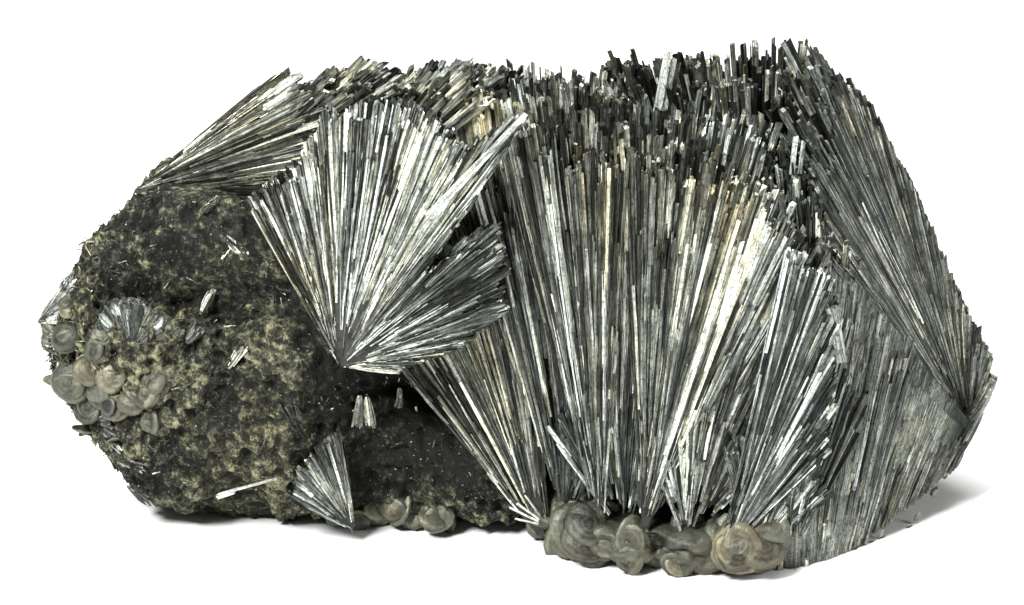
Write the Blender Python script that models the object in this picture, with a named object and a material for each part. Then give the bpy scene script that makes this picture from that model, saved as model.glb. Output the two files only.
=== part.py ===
"""A hand specimen of pyrolusite, about 100 mm wide: sprays of grey metallic blades on a dark rock.

Run with: blender --background --python part.py

The frame is metres with +Z up. X runs to the right and Y away from whoever faces the show side, where
the fibres are laid bare, and the origin is the middle of the base. All lengths below are millimetres
until a mesh is made.

A spray is a bundle of crystals that grew from one point, its root, so every crystal lies on a ray from
that root. Its tips form a patch between two lines of points, one near the show face and one deeper in.
"""

from collections import namedtuple

import bmesh
import bpy
import numpy as np
from mathutils import Vector

MM = 0.001
GAP = 0.35  # clearance between separate pieces
SEED = 41

# One spray: its root, its two lines of tips, cells across and deep, how much the crystals differ in
# length, as a share, and how far single blades stand proud of the broad sides.
Spray = namedtuple("Spray", "root near far cells rough ridge")

# The fan that stands out at the front left, with the notch between its two lower sheaves
FRONT_FAN = Spray(
    root=(-18.6, -8, 20),
    near=[(-27.5, -8.5, 38), (-25.5, -9.5, 40), (-22.3, -10.5, 42), (-19.8, -12, 49), (-12, -13.5, 50),
          (-8.3, -14, 48), (-5.5, -15, 45.5), (0.4, -17, 49.6), (-1, -17, 46.8), (-9.5, -13, 32),
          (-2.3, -15, 37.3), (-1.5, -14, 32.5), (-1.6, -12.5, 27.4), (-6.3, -11, 23), (-12.5, -9.5, 20)],
    far=[(-26.5, -5, 38), (-24.5, -5.5, 40), (-21.5, -6.5, 42), (-19, -7.5, 48), (-12, -8.5, 49),
         (-8, -9.5, 47), (-5.5, -11, 44.5), (-0.6, -13.5, 48.4), (-1.8, -13.5, 46.2), (-9.5, -9.5, 32),
         (-3, -12, 37), (-2.3, -11, 32.5), (-2.5, -9.5, 28), (-7, -8, 24), (-12.5, -7, 21)],
    cells=(34, 2), rough=0.07, ridge=0.45)

# The long fan that lies along the top left edge, its root at the far left
UPPER_LEFT_FAN = Spray(
    root=(-40.3, 3, 34.8),
    near=[(-28.5, -3, 35), (-22.8, -4.5, 38.2), (-20.5, -4.5, 42), (-20, -4, 46), (-20.5, -1, 47.4)],
    far=[(-30, 9, 35.5), (-27, 11, 38), (-26.5, 12, 41), (-27, 10, 43.9), (-24, 7, 46.8)],
    cells=(11, 4), rough=0.08, ridge=0.4)

# The sprays that have grown together into the main mass, from the left to the right of the show face,
# and then those of the back
MASS_SPRAYS = {
    "leaning_sheaf": Spray(
        root=(2.3, -9, 1),
        near=[(-13, -4.5, 19), (-12, -4, 30), (-10, -3, 40), (-7, -3, 46.3), (-3.5, -5, 47.3), (-1.4, -9, 47)],
        far=[(-13, 5, 21), (-12, 5, 32), (-10, 6.5, 41), (-7, 7, 46), (-3, 7, 47), (1.5, 6.5, 46.5)],
        cells=(9, 3), rough=0.06, ridge=0.5),
    "upright_spray": Spray(
        root=(7.8, -13.5, 5),
        near=[(-1.9, -11, 47), (1.6, -13, 48), (5.8, -13.2, 44.6), (9.9, -13, 44.6)],
        far=[(-2.5, 6, 46), (3, 6, 46), (7, 6.4, 45), (11, 6.4, 45)],
        cells=(6, 3), rough=0.07, ridge=0.6),
    "great_spray": Spray(
        root=(12.1, -14.5, 4.5),
        near=[(9.3, -13, 45.5), (15.4, -14, 43.4), (19.8, -14, 42.9), (23.4, -14, 41.8), (26.8, -13, 37.8),
              (30.8, -11.5, 31.5)],
        far=[(9.5, 6.4, 45), (15, 6.4, 44.8), (20, 6, 44.8), (24, 6, 44.8), (27, 4, 41), (29, 1, 34)],
        cells=(13, 3), rough=0.07, ridge=0.6),
    "low_spray": Spray(
        root=(20.2, -16.3, 2.5),
        near=[(26.8, -14, 34.6), (30.8, -12.6, 32.7), (31.8, -13, 25.4), (31.4, -13.6, 18), (31, -14, 13)],
        far=[(26, -9, 34), (30, -8, 32), (31, -8, 25), (31, -8, 18), (31, -8, 13)],
        cells=(10, 2), rough=0.08, ridge=0.5),
    "right_foot_spray": Spray(
        root=(28, -14, -25),
        near=[(24, -13.6, 14), (27.5, -12.8, 29), (30.8, -10.9, 32.4), (34.8, -8.3, 28), (39.4, -4, 21),
              (43.8, 0, 14.4), (47.6, 4, 8.6)],
        far=[(24, -5, 14), (27, -4, 28), (29, -2, 31), (33, 2, 27), (37, 5, 20), (41, 8, 13.6), (45, 11, 9)],
        cells=(11, 2), rough=0.05, ridge=0.4),
    "right_spray": Spray(
        root=(47.2, 5, 8),
        near=[(30.6, -11.3, 32.6), (29.6, -10.6, 38), (28.4, -9.6, 42.6), (29.8, -4, 46.4), (31.6, 1, 48.2),
              (35.4, 6, 44.2), (40.6, 7, 34.6), (45.4, 7, 23.8), (49.6, 6.5, 15.6)],
        far=[(24, 0, 32), (24, 4, 38), (24, 8, 43), (27, 11, 48.6), (30, 14, 47.4),
             (35, 15.5, 42), (40.6, 15.4, 31.6), (45.2, 14, 21), (48.6, 11, 13.6)],
        cells=(14, 3), rough=0.05, ridge=0.4),
    "back_left_spray": Spray(
        root=(-21, 14, 17),
        near=[(-21.8, -2, 45.6), (-17.6, -2.4, 46.6), (-10.6, -1, 47.4), (-4.8, 1, 47.8), (0, 3, 48)],
        far=[(-30, 17, 39.4), (-20, 17.4, 43), (-12, 17.8, 44.8), (-6.4, 18, 44.4), (-2, 18, 43)],
        cells=(9, 4), rough=0.09, ridge=0.5),
    "back_upright_spray": Spray(
        root=(4, 14.5, 4),
        near=[(-9, 4, 46), (-4, 3, 47), (3, 2, 46.4), (11, 2, 45.2)],
        far=[(-15, 18, 38), (-6, 18.2, 44), (3, 18.2, 43.8), (12, 18.2, 44.8)],
        cells=(8, 3), rough=0.07, ridge=0.6),
    "back_great_spray": Spray(
        root=(26, 15, 3),
        near=[(9, 2, 45.6), (16, 1, 45.6), (22, 1, 46.4), (27, 4, 46.4), (29, 8, 36), (34, 9, 24)],
        far=[(9, 18.2, 44.8), (17, 18.2, 45.4), (24, 17.8, 46), (29.5, 17, 47), (37, 17, 33), (43, 15.6, 20)],
        cells=(10, 3), rough=0.07, ridge=0.6),
}

# Small sprays that break out of the dark rock at the left
SMALL_SPRAYS = {
    "left_tip_spray": Spray(
        root=(-50.2, 0, 21.8),
        near=[(-47.4, -2, 26.2), (-46, -2.5, 27.4), (-45, -3, 24.8), (-45.3, -3, 22.6)],
        far=[(-47, 1.5, 26.4), (-45.4, 1.5, 27.6), (-44, 1.5, 25), (-44.5, 1.5, 22.8)],
        cells=(6, 2), rough=0.08, ridge=0.2),
    "left_knob_fan": Spray(
        root=(-39.9, -6.8, 21.3),
        near=[(-43.6, -6, 23.4), (-42.6, -6.3, 25.6), (-41, -6.4, 26.6), (-39, -6.4, 26.4), (-36.9, -6.4, 24.8),
              (-33.8, -6.2, 23)],
        far=[(-43, -3, 23.4), (-42, -3, 25.6), (-41, -3, 26.4), (-39, -3, 26), (-37, -3, 24.4), (-34, -3, 22.8)],
        cells=(12, 2), rough=0.06, ridge=0.2),
    "lower_left_spray": Spray(
        root=(-17.4, -7.2, 1.4),
        near=[(-24.2, -8, 5.4), (-23.2, -9, 8.6), (-21.4, -9.4, 11.4), (-19, -9, 13.4)],
        far=[(-24, -3, 6), (-23, -3.5, 9), (-21, -4, 11.6), (-19, -4, 13)],
        cells=(10, 2), rough=0.1, ridge=0.3),
}

# Sheaves that broke off short and stand proud of a broad side: the spray they lie on, the stretch of it
# that they take, their reach as a share of the spray's, how far they stand proud, and the side
LEDGES = [
    ("upright_spray", 0.30, 0.62, 0.66, 0.9, "near"),
    ("great_spray", 0.28, 0.55, 0.80, 1.0, "near"),
    ("great_spray", 0.60, 0.86, 0.70, 1.1, "near"),
    ("right_spray", 0.12, 0.34, 0.74, 0.7, "near"),
    ("right_foot_spray", 0.10, 0.40, 0.72, 0.7, "near"),
    ("back_upright_spray", 0.20, 0.55, 0.72, 0.8, "far"),
    ("back_great_spray", 0.15, 0.50, 0.80, 0.9, "far"),
]

# What lies behind the sprays and holds them together, as the corners of two blocks
CORES = [
    [(4, -8, 3), (18, -11, 3), (30, -8, 3), (41, 5, 6), (41, 12, 6), (34, 15, 4), (6, 15, 4),
     (1, -8, 24), (25, -10, 24), (37.5, -1.6, 22), (35, 13, 25), (0, 14, 25),
     (0, -7, 41), (22, -9, 40), (27, 1, 42), (26, 12, 43), (-3, 13, 43)],
    [(-19, -2, 33), (-12, -2, 25), (-12, 12, 25), (-20, 12, 33), (-18, -2, 43), (-8, -1, 43.6), (-8, 12, 43),
     (-20, 11, 42.6)],
]

# A lofted body is given by stations along X: x, front y, back y, lowest z, highest z.
# The crust from which the main mass grew, a low ridge that rises from the ground at its right end
CRUST_STATIONS = [
    (1, -5, 11.4, 1.5, 5), (4, -10.5, 14.4, 0.5, 6.4), (8, -14.2, 15.8, 0.4, 6.6), (14, -15.6, 16.7, 0.4, 6.8),
    (20, -16.6, 17, 0.4, 7), (25, -15.4, 17.2, 0.5, 8), (30, -11.5, 17.2, 0.5, 10), (35, -5.5, 17, 0.6, 12),
    (39, -2.4, 16.6, 1.4, 14.6), (43, -0.6, 15.6, 3.2, 15.6), (46.5, 0.6, 13.6, 4.6, 15.6),
    (49.2, 3, 11, 7.4, 15), (49.9, 5, 8, 9.8, 13),
]
CRUST_GRID = (15, 20)
CRUST_SQUARENESS = 4.0
# Lumps and pits, each a point near the surface that it pushes out or in, its radius and its height
CRUST_RELIEF = [
    ((9, -10, 0), 4.5, 1.4), ((20, -12, 0), 4.5, 1.6), ((8, 12, 0), 4.5, 1.4), ((24, 13, 0), 5, 1.4),
    ((31, -4, 0), 4.5, 1.4), ((38, 8, 0.6), 4.5, 1.6), ((20, 2, 0), 6, 1.4), ((46, 9, 5), 4, -1.2),
    ((47.5, 4, 12), 3, 1.0), ((12, 17, 5), 4, 1.2), ((20, 18, 4), 3, -1.2), ((30, 18, 6), 4, 1.2),
    ((14.2, -15, 1), 1.8, -1.6), ((42, 15, 6), 4, 1.0),
]
# Round knobs, each its middle and its radius
CRUST_KNOBS = [
    (2.6, -7.6, 2.4, 3.6), (6.6, -12, 2.2, 3.9), (11, -13.2, 1.6, 3.6), (17, -13.8, 2.8, 3.6),
    (20.8, -14.4, 1.2, 3.8), (25.4, -13.2, 1.6, 3.6),
    (46.2, 4.8, 10, 3.5), (43.8, 5.4, 7.2, 3.5), (4.6, 13.4, 2.6, 3.8), (16.4, 14.4, 3, 3.8),
    (30, 14.8, 3.4, 3.6),
]
# The ground falls away under the right end, where the mass broke off
UNDERCUT = [
    (32.5, -18, 0), (54, -18, 12), (54, 20, 5.6), (38, 20, 0), (32.5, -18, -9), (54, -18, -9),
    (54, 20, -9), (38, 20, -9),
]

# The dark rock at the lower left. It ends at the planes where the crystals begin, which slope down to
# the right under the fans.
ROCK_STATIONS = [
    (-48.9, 0, 2.6, 17.2, 20), (-48.3, -1.6, 4.4, 15, 22.4), (-46.9, -3.4, 6.6, 13, 25.6),
    (-45.3, -4.8, 8.6, 11, 29.4), (-43.2, -6, 10.6, 7.6, 31.4), (-40.5, -6.8, 12.6, 3.2, 33.6),
    (-37, -7.2, 14, 1, 37), (-31, -7.2, 15.6, 0.5, 40), (-24, -7.4, 16.6, 0.4, 38), (-18, -7.2, 17.2, 0.4, 34),
    (-12, -6.6, 17.4, 0.4, 28), (-6, -6.6, 17.2, 0.4, 20), (0, -6.4, 16.6, 0.4, 12), (3, -5, 15, 1, 8),
]
ROCK_GRID = (20, 28)
ROCK_OUTLINE = [(-29, 36.6), (-21, 28.6), (1.6, 2.2)]
ROCK_PATCH = 6.0
ROCK_PATCH_HEIGHT = 1.1
ROCK_RELIEF = [
    ((-31, -7, 29), 6.5, -4.6), ((-37.5, -6, 30), 4.5, -3.6), ((-25, -7, 29), 4.0, -3.0),
    ((-45, -2, 31), 3.4, 1.2), ((-23.8, -7.4, 18.6), 3.4, 2.6), ((-26, -7, 12), 5.0, 1.4),
    ((-12, -6, 16), 5.5, -5.0), ((-7, -6, 13), 5.0, -3.6), ((-16, -6, 10.5), 3.6, -2.4),
    ((-5, -7, 6), 4.0, 1.4), ((-33, -7, 12), 5.0, 1.2), ((-28, -6, 1), 4.0, -1.4),
    ((-38, 8, 1.2), 5.0, 1.6), ((-27, 1, 0), 5.0, 1.4), ((-26, 13, 0), 5.0, 1.4), ((-10, 0, 0), 5.0, 1.4),
    ((-9, 13, 0), 5.0, 1.4), ((-20, 17, 14), 7.0, 1.6), ((-36, 15, 20), 6.0, -2.4), ((-10, 17, 8), 5.0, -2.0),
]
ROCK_KNOBS = [
    (-45, -1.6, 20.2, 2.9), (-46, 0.4, 17, 2.8), (-42.2, -4.2, 18, 3.0), (-39.6, -5.6, 15, 2.8),
    (-36.4, -6, 17, 2.8), (-37.2, -6, 12.6, 2.5), (-15.8, -5, 1.6, 2.8), (-12, -5.8, 2.2, 3.1),
    (-2.6, -5.4, 1.4, 3.2),
]

BASE_Z = 0.0  # everything rests on this plane


def clear_scene():
    """Removes whatever objects the scene holds."""
    for obj in list(bpy.data.objects):
        bpy.data.objects.remove(obj, do_unlink=True)


def finish(name, colour, roughness, metallic):
    """A Principled material."""
    made = bpy.data.materials.new(name)
    made.use_nodes = True
    shader = made.node_tree.nodes["Principled BSDF"]
    shader.inputs["Base Color"].default_value = (*colour, 1)
    shader.inputs["Roughness"].default_value = roughness
    shader.inputs["Metallic"].default_value = metallic
    return made


def add_object(name, points, faces, material=None):
    """An object from points in millimetres, its faces turned outwards."""
    mesh = bpy.data.meshes.new(name)
    mesh.from_pydata((np.asarray(points, float) * MM).tolist(), [], faces)
    shape = bmesh.new()
    shape.from_mesh(mesh)
    bmesh.ops.recalc_face_normals(shape, faces=shape.faces)
    shape.to_mesh(mesh)
    shape.free()
    obj = bpy.data.objects.new(name, mesh)
    bpy.context.scene.collection.objects.link(obj)
    if material:
        mesh.materials.append(material)
    return obj


def helper(obj):
    """Marks an object that only shapes others."""
    obj.hide_render = True
    obj.display_type = "WIRE"
    return obj


def combine(obj, other, operation, crossing=False):
    """A Boolean of obj with a helper, crossing where thin blades may touch blades of the same solid."""
    step = obj.modifiers.new(other.name, "BOOLEAN")
    step.operation = operation
    step.solver = "EXACT"
    step.use_self = crossing
    step.object = helper(other)


def along(line, share):
    """Points at these shares of a line of points, its stretches taken as equally long."""
    line = np.asarray(line, float)
    places = np.asarray(share) * (len(line) - 1)
    return np.stack([np.interp(places, np.arange(len(line)), line[:, axis]) for axis in range(3)], axis=-1)


def cell_edges(count, inset=0.1):
    """Both edges of each of count cells from 0 to 1, drawn in a little, so that steps between them slant."""
    starts = (np.arange(count) + inset) / count
    ends = (np.arange(count) + 1 - inset) / count
    edges = np.stack([starts, ends], axis=1).ravel()
    edges[0], edges[-1] = 0, 1
    return edges


def spray_shape(spray, rng):
    """Points and faces of a spray: flat-topped crystals of differing length in a grid, and flat blades
    from the rim of the grid down to the root."""
    across, deep = spray.cells
    u, v = cell_edges(across), cell_edges(deep)
    near, far = along(spray.near, u), along(spray.far, u)
    outward = near - far
    outward /= np.linalg.norm(outward, axis=1, keepdims=True)
    proud = np.repeat(rng.uniform(-1, 1, (2, across)), 2, axis=1)[..., None] * spray.ridge
    near, far = near + outward * proud[0], far - outward * proud[1]
    tips = near[:, None] * (1 - v[:, None]) + far[:, None] * v[:, None]
    reach = 1 + spray.rough * rng.choice([0.3, 0.05, -0.2, -0.45, -0.7], (across, deep))
    reach = np.repeat(np.repeat(reach, 2, axis=0), 2, axis=1)[..., None]
    root = np.array(spray.root, float)
    points = (root + (tips - root) * reach).reshape(-1, 3)
    index = np.arange(len(points)).reshape(2 * across, 2 * deep)
    faces = np.stack([index[:-1, :-1], index[1:, :-1], index[1:, 1:], index[:-1, 1:]], axis=-1).reshape(-1, 4)
    rim = np.concatenate([index[:-1, 0], index[-1, :-1], index[:0:-1, -1], index[0, :0:-1]])
    apex = len(points)
    sides = [(int(b), int(a), apex) for a, b in zip(rim, np.roll(rim, -1))]
    return np.vstack([points, root]), faces.tolist() + sides


def ledge_of(spray, start, end, reach, proud, side):
    """A short sheaf from the same root that covers the stretch from start to end of one broad side."""
    stretch = np.linspace(start, end, 4)
    root = np.array(spray.root, float)
    near, far = along(spray.near, stretch), along(spray.far, stretch)
    face, outward = (near, near - far) if side == "near" else (far, far - near)
    outward = outward / np.linalg.norm(outward, axis=1, keepdims=True)
    middle = root + (face - root) * reach
    back = root - outward.mean(axis=0) * proud
    return Spray(root=tuple(back), near=middle + outward * proud, far=middle - outward * 2 * proud,
                 cells=(4, 1), rough=0.16, ridge=0.3)


def smooth_rows(rows, share):
    """Rows of values at these shares of a list of rows, along a curve that passes through every row.

    Between rows b and c, with a before and d after them, the curve is the cubic whose slope at b is
    (c - a) / 2 and at c is (d - b) / 2.
    """
    rows = np.asarray(rows, float)
    padded = np.vstack([2 * rows[0] - rows[1], rows, 2 * rows[-1] - rows[-2]])
    place = np.asarray(share) * (len(rows) - 1)
    first = np.minimum(place.astype(int), len(rows) - 2)
    t = (place - first)[:, None]
    a, b, c, d = (padded[first + step] for step in range(4))
    return b + t / 2 * (c - a + t * (2 * a - 5 * b + 4 * c - d + t * (3 * (b - c) + d - a)))


def lofted_body(stations, grid, power=3.0):
    """Points, outward directions and faces of a body lofted along X through rounded blocks.

    At each place the section is where |y/b|^p + |z/c|^p = 1 about its middle, with b and c half its
    depth and height. Both ends close in one point.
    """
    steps, turns = grid
    x, front, back, low, high = smooth_rows(stations, np.linspace(0, 1, steps)).T[..., None]
    turn = 2 * np.pi * (np.arange(turns) + 0.5) / turns
    size = (np.abs(np.cos(turn)) ** power + np.abs(np.sin(turn)) ** power) ** (-1 / power)
    y = (front + back) / 2 + (back - front) / 2 * np.cos(turn) * size
    z = (low + high) / 2 + (high - low) / 2 * np.sin(turn) * size
    ring = np.stack([x + 0 * y, y, z], axis=-1)
    middle = ring.mean(axis=1, keepdims=True)
    way = ring - middle
    way /= np.linalg.norm(way, axis=-1, keepdims=True)
    points = np.vstack([ring.reshape(-1, 3), middle[0], middle[-1]])
    way = np.vstack([way.reshape(-1, 3), [[-1, 0, 0], [1, 0, 0]]])
    index = np.arange(steps * turns).reshape(steps, turns)
    onward = np.roll(index, -1, axis=1)
    quads = np.stack([index[:-1], index[1:], onward[1:], onward[:-1]], axis=-1).reshape(-1, 4).tolist()
    left, right = len(points) - 2, len(points) - 1
    caps = [(left, int(a), int(b)) for a, b in zip(index[0], onward[0])]
    caps += [(right, int(b), int(a)) for a, b in zip(index[-1], onward[-1])]
    return points, way, quads + caps


def relief_shift(points, relief):
    """How far each point moves out: every lump adds its height times exp(-(distance / radius)^2)."""
    shift = np.zeros(len(points))
    for centre, radius, height in relief:
        away = np.linalg.norm(points - np.array(centre), axis=1) / radius
        shift += height * np.exp(-away ** 2)
    return shift


def patch_shift(points, rng, width, height):
    """How far each point moves out on a broken surface, where every patch lies at a level of its own.

    Each patch has a random middle and level, and a point takes the level of the nearest middle, mixed
    with the others by exp(-distance / (width / 12)).
    """
    low, high = points.min(axis=0), points.max(axis=0)
    count = int(np.prod(high - low) / width ** 3)
    middles, levels = rng.uniform(low, high, (count, 3)), rng.uniform(-1, 1, count)
    away = np.linalg.norm(points[:, None] - middles, axis=2)
    share = np.exp((away.min(axis=1, keepdims=True) - away) / (width / 12))
    return height * (share * levels).sum(axis=1) / share.sum(axis=1)


def knob(name, place):
    """One round knob, from its middle and radius."""
    shape = bmesh.new()
    bmesh.ops.create_icosphere(shape, subdivisions=2, radius=place[3] * MM)
    bmesh.ops.translate(shape, verts=shape.verts, vec=Vector(place[:3]) * MM)
    mesh = bpy.data.meshes.new(name)
    shape.to_mesh(mesh)
    shape.free()
    obj = bpy.data.objects.new(name, mesh)
    bpy.context.scene.collection.objects.link(obj)
    return obj


def hull(name, points, clearance=0.0):
    """The convex hull of points, pushed out by clearance along each axis."""
    points = np.asarray(points, float)
    reach = clearance * 3 ** 0.5
    steps = reach * np.vstack([np.eye(3), -np.eye(3)]) if clearance else np.zeros((1, 3))
    shape = bmesh.new()
    for point in (points[:, None] + steps).reshape(-1, 3):
        shape.verts.new(Vector(point) * MM)
    made = bmesh.ops.convex_hull(shape, input=shape.verts, use_existing_faces=False)
    bmesh.ops.delete(shape, geom=list({*made["geom_interior"], *made["geom_unused"]}), context="VERTS")
    mesh = bpy.data.meshes.new(name)
    bmesh.ops.recalc_face_normals(shape, faces=shape.faces)
    shape.to_mesh(mesh)
    shape.free()
    obj = bpy.data.objects.new(name, mesh)
    bpy.context.scene.collection.objects.link(obj)
    return helper(obj)


def floor_block():
    """The space below the base plane, cut from whatever would reach into it."""
    corners = [(x, y, z) for x in (-80, 80) for y in (-60, 60) for z in (BASE_Z - 30, BASE_Z)]
    return hull("below_base", corners)


def rock_zone(name, spread):
    """The block that belongs to the rock: it ends at the planes under the crystals, moved out by spread."""
    left, front, back, low = -90, -60, 60, -40
    outline = [(x + spread, z + spread) for x, z in ROCK_OUTLINE]
    outline += [(left, low), (outline[-1][0], low), (left, outline[0][1])]
    return hull(name, [(x, y, z) for x, z in outline for y in (front, back)])


def spray_points(spray):
    """The points that bound a spray."""
    return np.vstack([spray.root, spray.near, spray.far])


def build():
    clear_scene()
    rng = np.random.default_rng(SEED)
    blades = finish("pyrolusite_blades", (0.30, 0.31, 0.30), 0.32, 0.9)
    rock_finish = finish("dark_rock", (0.055, 0.052, 0.045), 0.85, 0.0)

    front_fan = add_object("front_fan", *spray_shape(FRONT_FAN, rng), blades)
    upper_fan = add_object("upper_left_fan", *spray_shape(UPPER_LEFT_FAN, rng), blades)
    small = {name: add_object(name, *spray_shape(spray, rng), blades) for name, spray in SMALL_SPRAYS.items()}
    below = floor_block()

    # Rooms for the fans, a little wider than the fans themselves
    clear = GAP + FRONT_FAN.ridge
    front_room = hull("front_fan_room", spray_points(FRONT_FAN), clear)
    upper_room = hull("upper_left_fan_room", spray_points(UPPER_LEFT_FAN), clear)
    combine(upper_fan, front_room, "DIFFERENCE")

    # The main mass: crust, knobs and sprays in one solid
    points, way, faces = lofted_body(CRUST_STATIONS, CRUST_GRID, CRUST_SQUARENESS)
    points += way * relief_shift(points, CRUST_RELIEF)[:, None]
    mass = add_object("crystal_mass", points, faces, blades)
    for number, corners in enumerate(CORES):
        combine(mass, hull(f"core_{number}", corners), "UNION")
    for name, spray in MASS_SPRAYS.items():
        combine(mass, add_object(name, *spray_shape(spray, rng)), "UNION", crossing=True)
    for number, (name, *where) in enumerate(LEDGES):
        ledge = ledge_of(MASS_SPRAYS[name], *where)
        combine(mass, add_object(f"ledge_{number}", *spray_shape(ledge, rng)), "UNION")
    for number, place in enumerate(CRUST_KNOBS):
        combine(mass, knob(f"crust_knob_{number}", place), "UNION")
    undercut = hull("undercut", UNDERCUT)
    for cutter in (rock_zone("rock_zone_with_gap", GAP), front_room, upper_room, undercut, below):
        combine(mass, cutter, "DIFFERENCE")

    # The dark rock with its knobs, hollowed where the sprays sit in it
    points, way, faces = lofted_body(ROCK_STATIONS, ROCK_GRID)
    shift = relief_shift(points, ROCK_RELIEF) + patch_shift(points, rng, ROCK_PATCH, ROCK_PATCH_HEIGHT)
    rock = add_object("dark_rock", points + way * shift[:, None], faces, rock_finish)
    for number, place in enumerate(ROCK_KNOBS):
        combine(rock, knob(f"rock_knob_{number}", place), "UNION")
    combine(rock, rock_zone("rock_zone", 0.0), "INTERSECT")
    for cutter in (front_room, upper_room, below):
        combine(rock, cutter, "DIFFERENCE")
    for name, spray in SMALL_SPRAYS.items():
        combine(rock, hull(f"{name}_room", spray_points(spray), GAP + spray.ridge), "DIFFERENCE")
        combine(small[name], below, "DIFFERENCE")


build()
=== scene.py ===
"""Looks of a pyrolusite hand specimen: fine grey metallic blades, knobby crust and dark granular rock.

The lengths below are millimetres in the frame of the loaded solids: +X to the right, +Y away from the
show side, +Z up, with the origin in the middle of the base. Every new piece is a surface worked out as
whole arrays and put into its mesh where it belongs, so each object sits at the origin.

A spray is a bundle of crystals that grew from one point, its root. Its tips form a patch between two
lines of points, one near the show side and one deeper in, and every blade lies on a ray from the root.
"""

from collections import namedtuple

import bpy
import numpy as np
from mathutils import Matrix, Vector


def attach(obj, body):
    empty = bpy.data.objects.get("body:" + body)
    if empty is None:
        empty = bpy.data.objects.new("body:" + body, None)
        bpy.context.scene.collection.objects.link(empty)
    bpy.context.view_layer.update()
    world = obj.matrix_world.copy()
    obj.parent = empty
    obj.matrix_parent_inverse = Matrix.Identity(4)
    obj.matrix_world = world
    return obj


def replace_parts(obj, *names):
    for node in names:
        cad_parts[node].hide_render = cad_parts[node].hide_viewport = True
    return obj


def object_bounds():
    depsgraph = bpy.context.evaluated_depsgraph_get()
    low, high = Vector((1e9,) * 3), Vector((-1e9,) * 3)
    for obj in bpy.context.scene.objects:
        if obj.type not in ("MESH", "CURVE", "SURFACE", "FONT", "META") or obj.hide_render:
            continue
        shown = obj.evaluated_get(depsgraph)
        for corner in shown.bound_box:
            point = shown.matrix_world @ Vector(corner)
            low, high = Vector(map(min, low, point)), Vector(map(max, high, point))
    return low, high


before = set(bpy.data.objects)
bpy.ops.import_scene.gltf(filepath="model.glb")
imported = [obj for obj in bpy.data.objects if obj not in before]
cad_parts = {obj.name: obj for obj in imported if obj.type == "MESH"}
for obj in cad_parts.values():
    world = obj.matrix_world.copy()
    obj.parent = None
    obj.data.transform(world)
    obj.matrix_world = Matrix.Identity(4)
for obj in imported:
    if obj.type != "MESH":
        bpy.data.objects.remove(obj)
cad_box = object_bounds()

MM = 0.001
SEED = 17
BODY = "root"

# The photograph's viewpoint: turned 0 degrees, raised 20, with a long lens
CAMERA_RAISED = np.radians(20.0)
CAMERA_DISTANCE = 396.0
CAMERA_LENS = 135.0
CAMERA_TARGET = (-1.1, 0.0, 24.0)

# One spray: its root, its two lines of tips, and its look: how bright, how brassy and how dull, 0 to 1
Spray = namedtuple("Spray", "root near far bright warm dull")

FRONT_FAN = Spray(
    root=(-18.6, -8, 20),
    near=[(-27.5, -8.5, 38), (-25.5, -9.5, 40), (-22.3, -10.5, 42), (-19.8, -12, 49), (-12, -13.5, 50),
          (-8.3, -14, 48), (-5.5, -15, 45.5), (0.4, -17, 49.6), (-1, -17, 46.8), (-9.5, -13, 32),
          (-2.3, -15, 37.3), (-1.5, -14, 32.5), (-1.6, -12.5, 27.4), (-6.3, -11, 23), (-12.5, -9.5, 20)],
    far=[(-26.5, -5, 38), (-24.5, -5.5, 40), (-21.5, -6.5, 42), (-19, -7.5, 48), (-12, -8.5, 49),
         (-8, -9.5, 47), (-5.5, -11, 44.5), (-0.6, -13.5, 48.4), (-1.8, -13.5, 46.2), (-9.5, -9.5, 32),
         (-3, -12, 37), (-2.3, -11, 32.5), (-2.5, -9.5, 28), (-7, -8, 24), (-12.5, -7, 21)],
    bright=0.47, warm=0.3, dull=0.15)

UPPER_LEFT_FAN = Spray(
    root=(-40.3, 3, 34.8),
    near=[(-28.5, -3, 35), (-22.8, -4.5, 38.2), (-20.5, -4.5, 42), (-20, -4, 46), (-20.5, -1, 47.4)],
    far=[(-30, 9, 35.5), (-27, 11, 38), (-26.5, 12, 41), (-27, 10, 43.9), (-24, 7, 46.8)],
    bright=0.43, warm=0.45, dull=0.3)

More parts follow.
